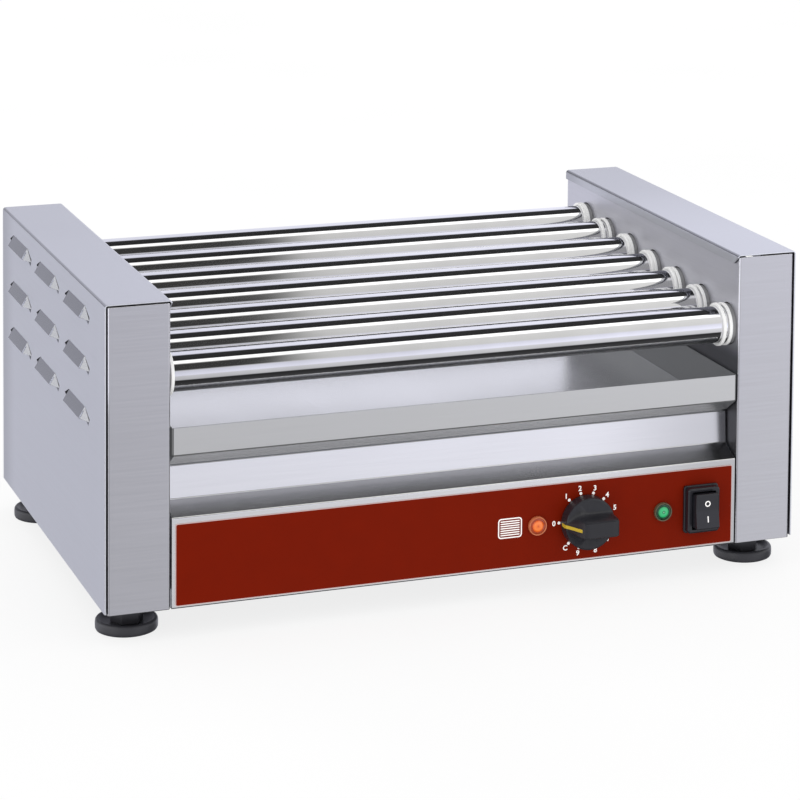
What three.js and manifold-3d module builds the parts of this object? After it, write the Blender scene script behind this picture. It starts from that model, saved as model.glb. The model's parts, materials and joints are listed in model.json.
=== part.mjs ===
// Hot dog roller grill for a counter: seven heated rollers between two sheet metal end housings,
// a drip tray that slides out at the front, and a sloped control box underneath.
// Millimetres, +X to the right along the rollers, +Y to the rear, +Z up, z = 0 under the feet.
import * as THREE from "three";
import { ConvexGeometry } from "three/addons/geometries/ConvexGeometry.js";
import { mergeVertices } from "three/addons/utils/BufferGeometryUtils.js";
import Module from "manifold-3d";

const wasm = await Module();
wasm.setup();

// ---- driving dimensions ----
const WIDTH = 490; // over the two end covers
const DEPTH = 320; // front face to rear face of the end housings
const FOOT_HEIGHT = 20;
const HOUSING_HEIGHT = 204;
const HOUSING_WIDTH = 43.3;
const SHEET = 1.2; // frame, base and panels
const COVER_SHEET = 1; // end covers and drip tray
const GAP = 0.3; // clearance between pieces that rest on one another
const SHADOW_GAP = 1.2; // visible gap between an end cover and the end frame inside it

const ROLLERS = 7;
const ROLLER_RADIUS = 12.7;
const ROLLER_WALL = 1.2;
const ROLLER_HALF_LENGTH = 211;
const FRONT_AXIS_Y = -142.4;
const FRONT_AXIS_Z = FOOT_HEIGHT + 152;
const BACK_AXIS_Y = 118.9;
const BACK_AXIS_Z = FOOT_HEIGHT + 171.1;

const PANEL_HALF_WIDTH = 200.7;
const PANEL_FACE_HEIGHT = 60.3;
const PANEL_SLOPE_HEIGHT = 68.2;
const PANEL_TOP_HEIGHT = 91.2;
const PANEL_SETBACK = 16; // from the face back to the upright strip above the slope
const CONTROL_Z = FOOT_HEIGHT + 28.8;
const AMBER_LAMP_X = 53;
const KNOB_X = 88.2;
const GREEN_LAMP_X = 145.8;
const SWITCH_X = 174;
const KNOB_REACH = 25.4; // knob front ahead of the control face
const INLET_REACH = 2.6; // inlet flange behind the rear face

// ---- places that follow from them ----
const FRONT_Y = -DEPTH / 2;
const REAR_Y = DEPTH / 2;
const BASE_Z = FOOT_HEIGHT;
const TOP_Z = BASE_Z + HOUSING_HEIGHT;
const OUTER_X = WIDTH / 2;
const INNER_X = OUTER_X - HOUSING_WIDTH;
const FRAME_X = OUTER_X - COVER_SHEET - SHADOW_GAP;
const FRAME_TOP = TOP_Z - COVER_SHEET - SHADOW_GAP;
const PITCH = Math.hypot(BACK_AXIS_Y - FRONT_AXIS_Y, BACK_AXIS_Z - FRONT_AXIS_Z) / (ROLLERS - 1);
const BED_TILT = Math.atan2(BACK_AXIS_Z - FRONT_AXIS_Z, BACK_AXIS_Y - FRONT_AXIS_Y);
const OVERLAY_BACK = FRONT_Y - 0.05;
const OVERLAY_FRONT = OVERLAY_BACK - 0.5;
const CENTRE_SHIFT_Y = (KNOB_REACH - INLET_REACH) / 2; // brings the whole outline's middle to y = 0

// ---- from three.js geometry to solids and back ----
function toSolid(geometry) {
  const bare = geometry.clone();
  bare.deleteAttribute("normal");
  bare.deleteAttribute("uv");
  const merged = mergeVertices(bare, 1e-4);
  return new wasm.Manifold(
    new wasm.Mesh({
      numProp: 3,
      vertProperties: new Float32Array(merged.attributes.position.array),
      triVerts: new Uint32Array(merged.index.array),
    }),
  );
}

function toGeometry(solid) {
  const mesh = solid.getMesh();
  const geometry = new THREE.BufferGeometry();
  geometry.setAttribute("position", new THREE.BufferAttribute(new Float32Array(mesh.vertProperties), 3));
  geometry.setIndex(new THREE.BufferAttribute(new Uint32Array(mesh.triVerts), 1));
  geometry.computeVertexNormals();
  return geometry;
}

const join = (first, ...others) => others.reduce((whole, other) => whole.add(other), first);
const cut = (first, ...others) => others.reduce((whole, other) => whole.subtract(other), first);

// ---- shapes ----
function box(x0, x1, y0, y1, z0, z1) {
  const geometry = new THREE.BoxGeometry(Math.abs(x1 - x0), Math.abs(y1 - y0), Math.abs(z1 - z0));
  geometry.translate((x0 + x1) / 2, (y0 + y1) / 2, (z0 + z1) / 2);
  return toSolid(geometry);
}

function extrude(outline, length, holes = []) {
  const shape = new THREE.Shape(outline.map(([a, b]) => new THREE.Vector2(a, b)));
  shape.holes = holes.map((hole) => new THREE.Path(hole.map(([a, b]) => new THREE.Vector2(a, b))));
  return new THREE.ExtrudeGeometry(shape, { depth: length, bevelEnabled: false });
}

// Outline in (y, z), from x0 to x1.
function prismX(outline, x0, x1, holes) {
  const turn = new THREE.Matrix4().set(0, 0, 1, Math.min(x0, x1), 1, 0, 0, 0, 0, 1, 0, 0, 0, 0, 0, 1);
  return toSolid(extrude(outline, Math.abs(x1 - x0), holes).applyMatrix4(turn));
}

// Outline in (x, z), from y0 to y1.
function prismY(outline, y0, y1, holes) {
  const turn = new THREE.Matrix4().set(1, 0, 0, 0, 0, 0, -1, Math.max(y0, y1), 0, 1, 0, 0, 0, 0, 0, 1);
  return toSolid(extrude(outline, Math.abs(y1 - y0), holes).applyMatrix4(turn));
}

// Outline in (x, y), from z0 to z1.
function prismZ(outline, z0, z1, holes) {
  return toSolid(extrude(outline, Math.abs(z1 - z0), holes).translate(0, 0, Math.min(z0, z1)));
}

function cylinderX(radius, x0, x1, y, z, segments) {
  const geometry = new THREE.CylinderGeometry(radius, radius, Math.abs(x1 - x0), segments);
  geometry.rotateZ(Math.PI / 2).translate((x0 + x1) / 2, y, z);
  return toSolid(geometry);
}

function cylinderY(radius, y0, y1, x, z, segments) {
  const geometry = new THREE.CylinderGeometry(radius, radius, Math.abs(y1 - y0), segments);
  return toSolid(geometry.translate(x, (y0 + y1) / 2, z));
}

function cylinderZ(radius, z0, z1, x, y, segments) {
  const geometry = new THREE.CylinderGeometry(radius, radius, Math.abs(z1 - z0), segments);
  return toSolid(geometry.rotateX(Math.PI / 2).translate(x, y, (z0 + z1) / 2));
}

// A profile of [radius, height] turned about +Y.
function lathe(profile, segments) {
  return toSolid(new THREE.LatheGeometry(profile.map(([r, h]) => new THREE.Vector2(r, h)), segments));
}

const hull = (points) => toSolid(new ConvexGeometry(points.map(([x, y, z]) => new THREE.Vector3(x, y, z))));

function roundedRectangle(a0, a1, b0, b1, radius, steps = 3) {
  const corners = [
    [a1 - radius, b1 - radius, 0],
    [a0 + radius, b1 - radius, 1],
    [a0 + radius, b0 + radius, 2],
    [a1 - radius, b0 + radius, 3],
  ];
  return corners.flatMap(([a, b, quarter]) =>
    Array.from({ length: steps + 1 }, (_, i) => {
      const angle = ((quarter + i / steps) * Math.PI) / 2;
      return [a + radius * Math.cos(angle), b + radius * Math.sin(angle)];
    }),
  );
}

// The path moved sideways to its left, with mitred corners.
function offsetPath(path, distance) {
  const normals = path.slice(1).map(([a, b], i) => {
    const length = Math.hypot(a - path[i][0], b - path[i][1]);
    return [(path[i][1] - b) / length, (a - path[i][0]) / length];
  });
  return path.map(([a, b], i) => {
    const before = normals[Math.max(i - 1, 0)];
    const after = normals[Math.min(i, normals.length - 1)];
    const stretch = distance / (1 + before[0] * after[0] + before[1] * after[1]);
    return [a + (before[0] + after[0]) * stretch, b + (before[1] + after[1]) * stretch];
  });
}

// The closed outline of a folded sheet whose thickness lies to the left of the path.
function foldedSheet(path, thickness) {
  return [...path, ...offsetPath(path, thickness).reverse()];
}

// ---- materials ----
const finishes = {
  steel: { color: 0xb9bac4, metalness: 0.9, roughness: 0.38 },
  galvanized: { color: 0x9fa3a6, metalness: 0.8, roughness: 0.55 },
  chrome: { color: 0xe8e8f0, metalness: 1, roughness: 0.06 },
  red: { color: 0x7d1e0e, metalness: 0, roughness: 0.45 },
  black: { color: 0x15161a, metalness: 0, roughness: 0.45 },
  white: { color: 0xf2f2ee, metalness: 0, roughness: 0.5 },
  amber: { color: 0xe8641c, metalness: 0, roughness: 0.25 },
  green: { color: 0x1c9b4c, metalness: 0, roughness: 0.25 },
  dark: { color: 0x3b3d42, metalness: 0.7, roughness: 0.5 },
};

function piece(name, solid, finish) {
  const mesh = new THREE.Mesh(toGeometry(solid), new THREE.MeshStandardMaterial(finishes[finish]));
  mesh.name = name;
  return mesh;
}

// ---- end housings ----
const FOOT_X = 222.7;
const FOOT_Y = 127.8;
const FOOT_RADIUS = 20.6;
const STUD_RADIUS = 4;
const BUSH_SLEEVE_RADIUS = 14.2;
const MOTOR_Y = 20;
const MOTOR_Z = BASE_Z + 46;
const SIDES = { left: -1, right: 1 };

const bedPoint = (index) => [
  FRONT_AXIS_Y + index * PITCH * Math.cos(BED_TILT),
  FRONT_AXIS_Z + index * PITCH * Math.sin(BED_TILT),
];

function circle(a, b, radius, segments) {
  return Array.from({ length: segments }, (_, i) => {
    const angle = ((i + 0.3) * 2 * Math.PI) / segments;
    return [a + radius * Math.cos(angle), b + radius * Math.sin(angle)];
  });
}

// Inner side with the roller holes, front and rear faces, and a floor that carries the feet.
function endFrame(side) {
  const plate = [
    [FRONT_Y, BASE_Z],
    [REAR_Y, BASE_Z],
    [REAR_Y, FRAME_TOP],
    [FRONT_Y, FRAME_TOP],
  ];
  const holes = Array.from({ length: ROLLERS }, (_, i) =>
    circle(...bedPoint(i), BUSH_SLEEVE_RADIUS + 0.5, 16),
  );
  if (side === SIDES.left) {
    holes.push(circle(MOTOR_Y, MOTOR_Z, 6, 12));
  }
  const innerSide = prismX(plate, side * INNER_X, side * (INNER_X + SHEET), holes);
  const overlap = side * (INNER_X + SHEET / 2);
  const faces = [FRONT_Y, REAR_Y - SHEET].map((y) =>
    box(overlap, side * FRAME_X, y, y + SHEET, BASE_Z, FRAME_TOP),
  );
  const floorOutline = [
    [overlap, FRONT_Y + SHEET / 2],
    [side * FRAME_X, FRONT_Y + SHEET / 2],
    [side * FRAME_X, REAR_Y - SHEET / 2],
    [overlap, REAR_Y - SHEET / 2],
  ];
  const studHoles = [-FOOT_Y, FOOT_Y].map((y) => circle(side * FOOT_X, y, STUD_RADIUS + 0.6, 12));
  return join(innerSide, ...faces, prismZ(floorOutline, BASE_Z, BASE_Z + SHEET, studHoles));
}

const LOUVRE_ROWS = [191.5, 157.8, 124.1].map((height) => BASE_Z + height);
const LOUVRE_COLUMNS = [97.5, 8, -81.5];
const LOUVRE_HALF_LENGTH = 23;
const LOUVRE_REACH = 4.6;
const LOUVRE_DROP = 6.7;
const LOUVRE_END = 9.5; // how far each slanted end runs back to the sheet

// The pressed-out hood of a louvre, or (with inset above 0) the space to cut inside it.
function louvre(side, y, z, inset) {
  const opening = inset > 0;
  const back = OUTER_X - (opening ? 2 * COVER_SHEET : 0.4);
  const drop = LOUVRE_DROP * (opening ? 1.3 : 1);
  const reach = LOUVRE_REACH * (opening ? 1.3 : 1) - inset * 0.82;
  const half = LOUVRE_HALF_LENGTH - inset;
  const end = LOUVRE_HALF_LENGTH + LOUVRE_END - 2.4 * inset;
  const points = [-1, 1].flatMap((way) => [
    [side * back, y + way * half, z - 0.57 * inset],
    [side * (OUTER_X - 0.82 * inset), y + way * half, z - 0.57 * inset],
    [side * (OUTER_X + reach), y + way * half, z - drop],
    [side * back, y + way * end, z - drop],
    [side * (OUTER_X - 0.82 * inset), y + way * end, z - drop],
  ]);
  return hull(points);
}

// Outer side, top and a short lip down over the inner side, folded from one sheet.
function endCover(side) {
  const lipX = INNER_X - GAP - COVER_SHEET;
  const lipBottom = TOP_Z - 7;
  const lipCutBack = 6;
  const path = [
    [side * OUTER_X, BASE_Z + 1.3],
    [side * OUTER_X, TOP_Z],
    [side * lipX, TOP_Z],
    [side * lipX, lipBottom],
  ];
  const sheet = prismY(foldedSheet(path, side * COVER_SHEET), FRONT_Y, REAR_Y);
  const lipCorner = [
    [FRONT_Y - 1, lipBottom - 1],
    [FRONT_Y + lipCutBack, lipBottom - 1],
    [FRONT_Y - 1, lipBottom + lipCutBack],
  ];
  const trimmed = cut(sheet, prismX(lipCorner, side * (lipX - 1), side * (lipX + COVER_SHEET + 0.1)));
  const places = LOUVRE_ROWS.flatMap((z) => LOUVRE_COLUMNS.map((y) => [y, z]));
  const hoods = join(trimmed, ...places.map(([y, z]) => louvre(side, y, z, 0)));
  return cut(hoods, ...places.map(([y, z]) => louvre(side, y, z, 1)));
}

// ---- base, control panel and rear panel ----
function basePan() {
  const wide = INNER_X - GAP;
  const flange = 12;
  const floorZ = BASE_Z + SHEET + GAP;
  const path = [
    [-wide, floorZ + flange],
    [-wide, floorZ],
    [wide, floorZ],
    [wide, floorZ + flange],
  ];
  const tray = prismY(foldedSheet(path, SHEET), FRONT_Y + 1.5, REAR_Y - 1.5);
  const vents = Array.from({ length: 7 }, (_, i) => {
    const x = (i - 3) * 50;
    return box(x - 3, x + 3, -45, 45, floorZ - 1, floorZ + 3);
  });
  return cut(tray, ...vents);
}

const SWITCH_BODY = { halfWidth: 11, halfHeight: 14 };

function controlCutouts(y0, y1, clearance) {
  const { halfWidth, halfHeight } = SWITCH_BODY;
  return [
    cylinderY(LAMP_BODY_RADIUS + clearance, y0, y1, AMBER_LAMP_X, CONTROL_Z, 16),
    cylinderY(LAMP_BODY_RADIUS + clearance, y0, y1, GREEN_LAMP_X, CONTROL_Z, 16),
    cylinderY(SHAFT_RADIUS + 1 + clearance, y0, y1, KNOB_X, CONTROL_Z, 16),
    box(
      SWITCH_X - halfWidth - clearance,
      SWITCH_X + halfWidth + clearance,
      y0,
      y1,
      CONTROL_Z - halfHeight - clearance,
      CONTROL_Z + halfHeight + clearance,
    ),
  ];
}

// Bottom flange, upright face, slope, upright strip and the ledge under the drip tray.
function controlPanel() {
  const stripY = FRONT_Y + PANEL_SETBACK;
  const flange = 14;
  const path = [
    [FRONT_Y + flange, BASE_Z],
    [FRONT_Y, BASE_Z],
    [FRONT_Y, BASE_Z + PANEL_FACE_HEIGHT],
    [stripY, BASE_Z + PANEL_SLOPE_HEIGHT],
    [stripY, BASE_Z + PANEL_TOP_HEIGHT],
    [stripY + flange, BASE_Z + PANEL_TOP_HEIGHT],
  ];
  const sheet = prismX(foldedSheet(path, -SHEET), -PANEL_HALF_WIDTH, PANEL_HALF_WIDTH);
  return cut(sheet, ...controlCutouts(FRONT_Y - 2, FRONT_Y + 4, 0.4));
}

function panelOverlay() {
  const outline = roundedRectangle(-198.4, 198.4, BASE_Z + 1.5, BASE_Z + 56.4, 1.4);
  const sheet = prismY(outline, OVERLAY_FRONT, OVERLAY_BACK);
  return cut(sheet, ...controlCutouts(FRONT_Y - 2, FRONT_Y + 4, 0.7));
}

const INLET = { x: 130, z: BASE_Z + 34, halfWidth: 13.5, halfHeight: 9.7 };

function rearPanel() {
  const height = 130;
  const flange = 14;
  const ledgeDepth = 18;
  const ledgeTop = BASE_Z + PANEL_TOP_HEIGHT;
  const path = [
    [REAR_Y - flange, BASE_Z],
    [REAR_Y, BASE_Z],
    [REAR_Y, BASE_Z + height],
    [REAR_Y - flange / 2, BASE_Z + height],
  ];
  const sheet = prismX(foldedSheet(path, SHEET), -PANEL_HALF_WIDTH, PANEL_HALF_WIDTH);
  const ledge = box(-199, 199, REAR_Y - ledgeDepth, REAR_Y - SHEET / 2, ledgeTop - SHEET, ledgeTop);
  const { x, z, halfWidth, halfHeight } = INLET;
  const opening = box(
    x - halfWidth - 0.4,
    x + halfWidth + 0.4,
    REAR_Y - 4,
    REAR_Y + 2,
    z - halfHeight - 0.4,
    z + halfHeight + 0.4,
  );
  const vents = Array.from({ length: 9 }, (_, i) => {
    const ventX = -120 + i * 14;
    return box(ventX - 2, ventX + 2, REAR_Y - 4, REAR_Y + 2, z - 16, z + 16);
  });
  return cut(join(sheet, ledge), opening, ...vents);
}

// Appliance inlet: flange outside, body through the rear panel, three blades in a recess.
function powerInlet() {
  const { x, z, halfWidth, halfHeight } = INLET;
  const flangeBack = REAR_Y + 0.1;
  const flangeFront = REAR_Y + INLET_REACH;
  const flange = prismY(roundedRectangle(x - 25, x + 25, z - 13, z + 13, 5), flangeBack, flangeFront);
  const body = box(x - halfWidth, x + halfWidth, REAR_Y - 24, REAR_Y + 1, z - halfHeight, z + halfHeight);
  const recess = prismY(
    roundedRectangle(x - halfWidth + 1.6, x + halfWidth - 1.6, z - halfHeight + 1.6, z + halfHeight - 1.6, 3),
    REAR_Y - 15,
    REAR_Y + 4,
  );
  const blades = [-7, 0, 7].map((along) => {
    const lift = along === 0 ? 2 : -2;
    return box(x + along - 1, x + along + 1, REAR_Y - 16, REAR_Y - 2, z + lift - 2, z + lift + 2);
  });
  return join(cut(join(flange, body), recess), ...blades);
}

// ---- controls ----
const LAMP_BODY_RADIUS = 5;
const SHAFT_RADIUS = 3;

// Sealed indicator: body through the panel, bezel on it, domed lens in front.
function pilotLamp(x) {
  const bezelRadius = 6.9;
  const lensRadius = 5.2;
  const profile = [
    [0, -22],
    [LAMP_BODY_RADIUS, -22],
    [LAMP_BODY_RADIUS, 0.1],
    [bezelRadius, 0.1],
    [bezelRadius, 1.4],
    [bezelRadius - 0.8, 2.6],
    [lensRadius, 2.6],
    [lensRadius * 0.6, 3.1],
    [0, 3.3],
  ];
  return lathe(profile, 20).rotate([180, 0, 0]).translate([x, OVERLAY_FRONT, CONTROL_Z]);
}

function thermostatBody() {
  const back = FRONT_Y + SHEET + GAP;
  const block = box(KNOB_X - 22, KNOB_X + 22, back, back + 34, CONTROL_Z - 20, CONTROL_Z + 20);
  const shaft = cylinderY(SHAFT_RADIUS, back + 1, OVERLAY_FRONT - 16, KNOB_X, CONTROL_Z, 16);
  return join(block, shaft);
}

const KNOB_BACK = OVERLAY_FRONT - 0.5;
const KNOB_FRONT = FRONT_Y - KNOB_REACH;
const SKIRT_RADIUS = 18.2;

// Round skirt with a grip bar across it. The bar's pointer end, to the left, slopes down to the rim.
function thermostatKnob() {
  const skirtFront = FRONT_Y - 10.5;
  const skirtDepth = KNOB_BACK - skirtFront;
  const skirt = lathe(
    [
      [0, 0],
      [SKIRT_RADIUS, 0],
      [SKIRT_RADIUS, skirtDepth - 1.5],
      [SKIRT_RADIUS - 1.2, skirtDepth],
      [0, skirtDepth],
    ],
    32,
  ).rotate([180, 0, 0]);
  const front = KNOB_BACK - KNOB_FRONT;
  const plan = [
    [-17, -4.5],
    [-9, -6],
    [16.6, -6.2],
    [16.6, 6.2],
    [-9, 6],
    [-17, 4.5],
  ];
  const sideView = [
    [-17, -1],
    [-17, -skirtDepth - 0.6],
    [-9.5, -front],
    [15.2, -front],
    [16.6, -skirtDepth],
    [16.6, -1],
  ];
  const bar = prismY(plan, -front, -1).intersect(prismZ(sideView, -10, 10));
  const bore = cylinderY(SHAFT_RADIUS + 0.4, -17, 1, 0, 0, 16);
  return cut(join(skirt, bar), bore).translate([KNOB_X, KNOB_BACK, CONTROL_Z]);
}

const ROCKER = { halfWidth: 8.6, halfLength: 12.1, tilt: THREE.MathUtils.degToRad(5), pivotReach: 2.5 };
const SWITCH_REACH = 8;

function switchBezel() {
  const back = OVERLAY_FRONT - 0.1;
  const front = FRONT_Y - SWITCH_REACH;
  const { halfWidth, halfHeight } = SWITCH_BODY;
  const rim = hull(
    [-1, 1].flatMap((a) =>
      [-1, 1].flatMap((b) => [
        [SWITCH_X + a * 12.8, back, CONTROL_Z + b * 16.5],
        [SWITCH_X + a * 12.8, front + 2, CONTROL_Z + b * 16.5],
        [SWITCH_X + a * 11.6, front, CONTROL_Z + b * 15.3],
      ]),
    ),
  );
  const body = box(
    SWITCH_X - halfWidth,
    SWITCH_X + halfWidth,
    back - 1,
    FRONT_Y + 26,
    CONTROL_Z - halfHeight,
    CONTROL_Z + halfHeight,
  );
  const well = box(
    SWITCH_X - ROCKER.halfWidth - 0.4,
    SWITCH_X + ROCKER.halfWidth + 0.4,
    front - 1,
    FRONT_Y + 8,
    CONTROL_Z - 13.5,
    CONTROL_Z + 13.5,
  );
  return cut(join(rim, body), well);
}

// Shallow V of two finger faces over a rounded keel. At rest the upper face is pressed in.
function switchRocker() {
  const middle = 11.7;
  const corner = middle + ROCKER.halfLength * Math.tan(ROCKER.tilt);
  const outline = [
    [-corner, -ROCKER.halfLength],
    [-middle, 0],
    [-corner, ROCKER.halfLength],
    [0, 11.3],
    [4, 8],
    [6, 0],
    [4, -8],
    [0, -11.3],
  ];
  const pivot = [SWITCH_X, FRONT_Y - ROCKER.pivotReach, CONTROL_Z];
  const tiltDegrees = THREE.MathUtils.radToDeg(-ROCKER.tilt);
  return prismX(outline, -ROCKER.halfWidth, ROCKER.halfWidth).rotate([tiltDegrees, 0, 0]).translate(pivot);
}

// ---- drip tray ----
const TRAY_HALF_WIDTH = 201;
const TRAY_RIM = BASE_Z + 119.8;

// Front lip, chamfer, floor and rear wall, seen from the side.
function trayPath(rim) {
  const underside = BASE_Z + PANEL_TOP_HEIGHT + 0.4;
  const lipY = FRONT_Y - 0.4;
  const rearWallY = REAR_Y - 12;
  return [
    [lipY, rim],
    [lipY, BASE_Z + 101.2],
    [lipY + 15.4, underside],
    [rearWallY, underside],
    [rearWallY, rim],
  ];
}

function dripTray() {
  const inside = TRAY_HALF_WIDTH - 0.5;
  const sheet = prismX(foldedSheet(trayPath(TRAY_RIM), COVER_SHEET), -inside, inside);
  const sideOutline = offsetPath(trayPath(TRAY_RIM - 0.4), COVER_SHEET / 2);
  const sides = [-1, 1].map((side) =>
    prismX(sideOutline, side * (TRAY_HALF_WIDTH - COVER_SHEET), side * TRAY_HALF_WIDTH),
  );
  return join(sheet, ...sides);
}

// ---- rollers, drive and heating, placed along the tilted roller bed ----
const CHAIN_PITCH = 6.35;
const TEETH = 12;
const PITCH_RADIUS = CHAIN_PITCH / (2 * Math.sin(Math.PI / TEETH));
const TIP_RADIUS = PITCH_RADIUS + 1.6;
const ROOT_RADIUS = PITCH_RADIUS - 1.65;
const SPROCKET_X0 = -218.2;
const SPROCKET_X1 = -214.2;
const NECK_RADIUS = 8.8;
const ROD_RADIUS = 4.2;
const ROD_HALF_LENGTH = 236;

function rollerTube() {
  const inner = ROLLER_RADIUS - ROLLER_WALL;
  const profile = [
    [inner, -ROLLER_HALF_LENGTH],
    [ROLLER_RADIUS, -ROLLER_HALF_LENGTH],
    [ROLLER_RADIUS, ROLLER_HALF_LENGTH],
    [inner, ROLLER_HALF_LENGTH],
    [inner, -ROLLER_HALF_LENGTH],
  ];
  return lathe(profile, 20).rotate([0, 0, -90]);
}

// Flanged sleeve in the end frame's hole, in which the tube turns.
function rollerBush(side) {
  const inner = ROLLER_RADIUS + 0.5;
  const flangeRadius = 14.9;
  const flangeEnd = INNER_X - GAP;
  const profile = [
    [inner, flangeEnd - 4.6],
    [flangeRadius, flangeEnd - 4.6],
    [flangeRadius, flangeEnd],
    [BUSH_SLEEVE_RADIUS, flangeEnd],
    [BUSH_SLEEVE_RADIUS, flangeEnd + 3.4],
    [inner, flangeEnd + 3.4],
    [inner, flangeEnd - 4.6],
  ];
  return lathe(profile, 14).rotate([0, 0, side === SIDES.right ? -90 : 90]);
}

function toothedDisc(x0, x1) {
  const step = (2 * Math.PI) / TEETH;
  const outline = Array.from({ length: TEETH }, (_, i) => i * step).flatMap((angle) => [
    [ROOT_RADIUS * Math.cos(angle), ROOT_RADIUS * Math.sin(angle)],
    [TIP_RADIUS * Math.cos(angle + 0.42 * step), TIP_RADIUS * Math.sin(angle + 0.42 * step)],
    [TIP_RADIUS * Math.cos(angle + 0.58 * step), TIP_RADIUS * Math.sin(angle + 0.58 * step)],
  ]);
  return prismX(outline, x0, x1);
}

// Toothed disc on a neck and a plug that is fixed in the tube's left end, bored for the heater rod.
function rollerSprocket() {
  const plugEnd = -203;
  const plugRadius = ROLLER_RADIUS - ROLLER_WALL - 0.6;
  const whole = join(
    toothedDisc(SPROCKET_X0, SPROCKET_X1),
    cylinderX(NECK_RADIUS, SPROCKET_X1 - 1, -ROLLER_HALF_LENGTH + 1, 0, 0, 10),
    cylinderX(plugRadius, -ROLLER_HALF_LENGTH, plugEnd, 0, 0, 12),
  );
  return cut(whole, cylinderX(ROD_RADIUS + 1.3, SPROCKET_X0 - 1, plugEnd + 1, 0, 0, 8));
}

function motorSprocket() {
  const whole = join(
    toothedDisc(SPROCKET_X0, SPROCKET_X1),
    cylinderX(NECK_RADIUS, SPROCKET_X1 - 1, -208, 0, 0, 16),
  );
  const bored = cut(whole, cylinderX(STUD_RADIUS + 0.5, SPROCKET_X0 - 1, -207, 0, 0, 12));
  return bored.translate([0, MOTOR_Y, MOTOR_Z]);
}

// Gearbox against the left end frame, motor can beside it, output shaft through the frame.
function gearMotor() {
  const face = -INNER_X + GAP;
  const gearbox = box(face, face + 32, MOTOR_Y - 30, MOTOR_Y + 30, MOTOR_Z - 28, MOTOR_Z + 28);
  const can = cylinderX(25, face + 30, face + 92, MOTOR_Y, MOTOR_Z, 20);
  const shaft = cylinderX(STUD_RADIUS, face + 1, SPROCKET_X0 - 1.5, MOTOR_Y, MOTOR_Z, 12);
  return join(gearbox, can, shaft);
}

// Outline that runs round equal circles on the given centres, listed anticlockwise.
function loopAround(centres, radius) {
  const arcStep = Math.PI / 10;
  return centres.flatMap(([a, b], i) => {
    const [beforeA, beforeB] = centres[(i + centres.length - 1) % centres.length];
    const [afterA, afterB] = centres[(i + 1) % centres.length];
    const from = Math.atan2(beforeA - a, b - beforeB);
    let to = Math.atan2(a - afterA, afterB - b);
    while (to < from) to += 2 * Math.PI;
    const steps = Math.max(2, Math.ceil((to - from) / arcStep));
    return Array.from({ length: steps + 1 }, (_, k) => {
      const angle = from + ((to - from) * k) / steps;
      return [a + radius * Math.cos(angle), b + radius * Math.sin(angle)];
    });
  });
}

// Closed loop round the end rollers' sprockets and the motor's, over the tops of the ones between:
// two rows of side plates that straddle the discs, closed outside the teeth.
function driveChain() {
  const centres = [bedPoint(0), [MOTOR_Y, MOTOR_Z], bedPoint(ROLLERS - 1)];
  const outer = loopAround(centres, PITCH_RADIUS + 2.9);
  const plateInner = loopAround(centres, PITCH_RADIUS - 2.9);
  const webInner = loopAround(centres, TIP_RADIUS + 0.4);
  const plate = 0.9;
  const clear = 0.4;
  const left = SPROCKET_X0 - clear;
  const right = SPROCKET_X1 + clear;
  return join(
    prismX(outer, left - plate, left, [plateInner]),
    prismX(outer, right, right + plate, [plateInner]),
    prismX(outer, left - plate / 2, right + plate / 2, [webInner]),
  );
}

const heaterRod = () => cylinderX(ROD_RADIUS, -ROD_HALF_LENGTH, ROD_HALF_LENGTH, 0, 0, 10);

// Angle strip above the rollers' ends, drilled to hold the heater rods.
function heaterBracket(side) {
  const plateX = 231.5;
  const shelf = 19.2;
  const path = [
    [side * (INNER_X + SHEET + GAP), shelf],
    [side * plateX, shelf],
    [side * plateX, -8],
  ];
  const strip = prismY(foldedSheet(path, -side * SHEET), -12, (ROLLERS - 1) * PITCH + 12);
  const holes = Array.from({ length: ROLLERS }, (_, i) =>
    cylinderX(ROD_RADIUS + 0.6, side * (plateX - 3), side * (plateX + 1), i * PITCH, 0, 10),
  );
  return cut(strip, ...holes);
}

// ---- feet ----
// Levelling foot: dished disc, six-sided neck and threaded stud.
function levellingFoot(x, y) {
  const disc = lathe(
    [
      [0, 0],
      [FOOT_RADIUS - 1.6, 0],
      [FOOT_RADIUS, 1.8],
      [FOOT_RADIUS, 5.4],
      [FOOT_RADIUS - 1.6, 7.8],
      [10, 6.6],
      [0, 6.6],
    ],
    20,
  ).rotate([90, 0, 0]);
  const neckTop = FOOT_HEIGHT - GAP;
  const neck = cylinderZ(11, 5, neckTop, 0, 0, 6);
  const stud = cylinderZ(STUD_RADIUS, neckTop - 1, FOOT_HEIGHT + 18, 0, 0, 12);
  return join(disc, neck, stud).translate([x, y, 0]);
}

// ---- assembly ----
const grill = new THREE.Group();
grill.position.y = CENTRE_SHIFT_Y;

for (const [word, side] of Object.entries(SIDES)) {
  grill.add(piece(`${word}_end_frame`, endFrame(side), "steel"));
  grill.add(piece(`${word}_end_cover`, endCover(side), "steel"));
  for (const [place, y] of [["front", -FOOT_Y], ["rear", FOOT_Y]]) {
    grill.add(piece(`${place}_${word}_foot`, levellingFoot(side * FOOT_X, y), "black"));
  }
}

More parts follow.
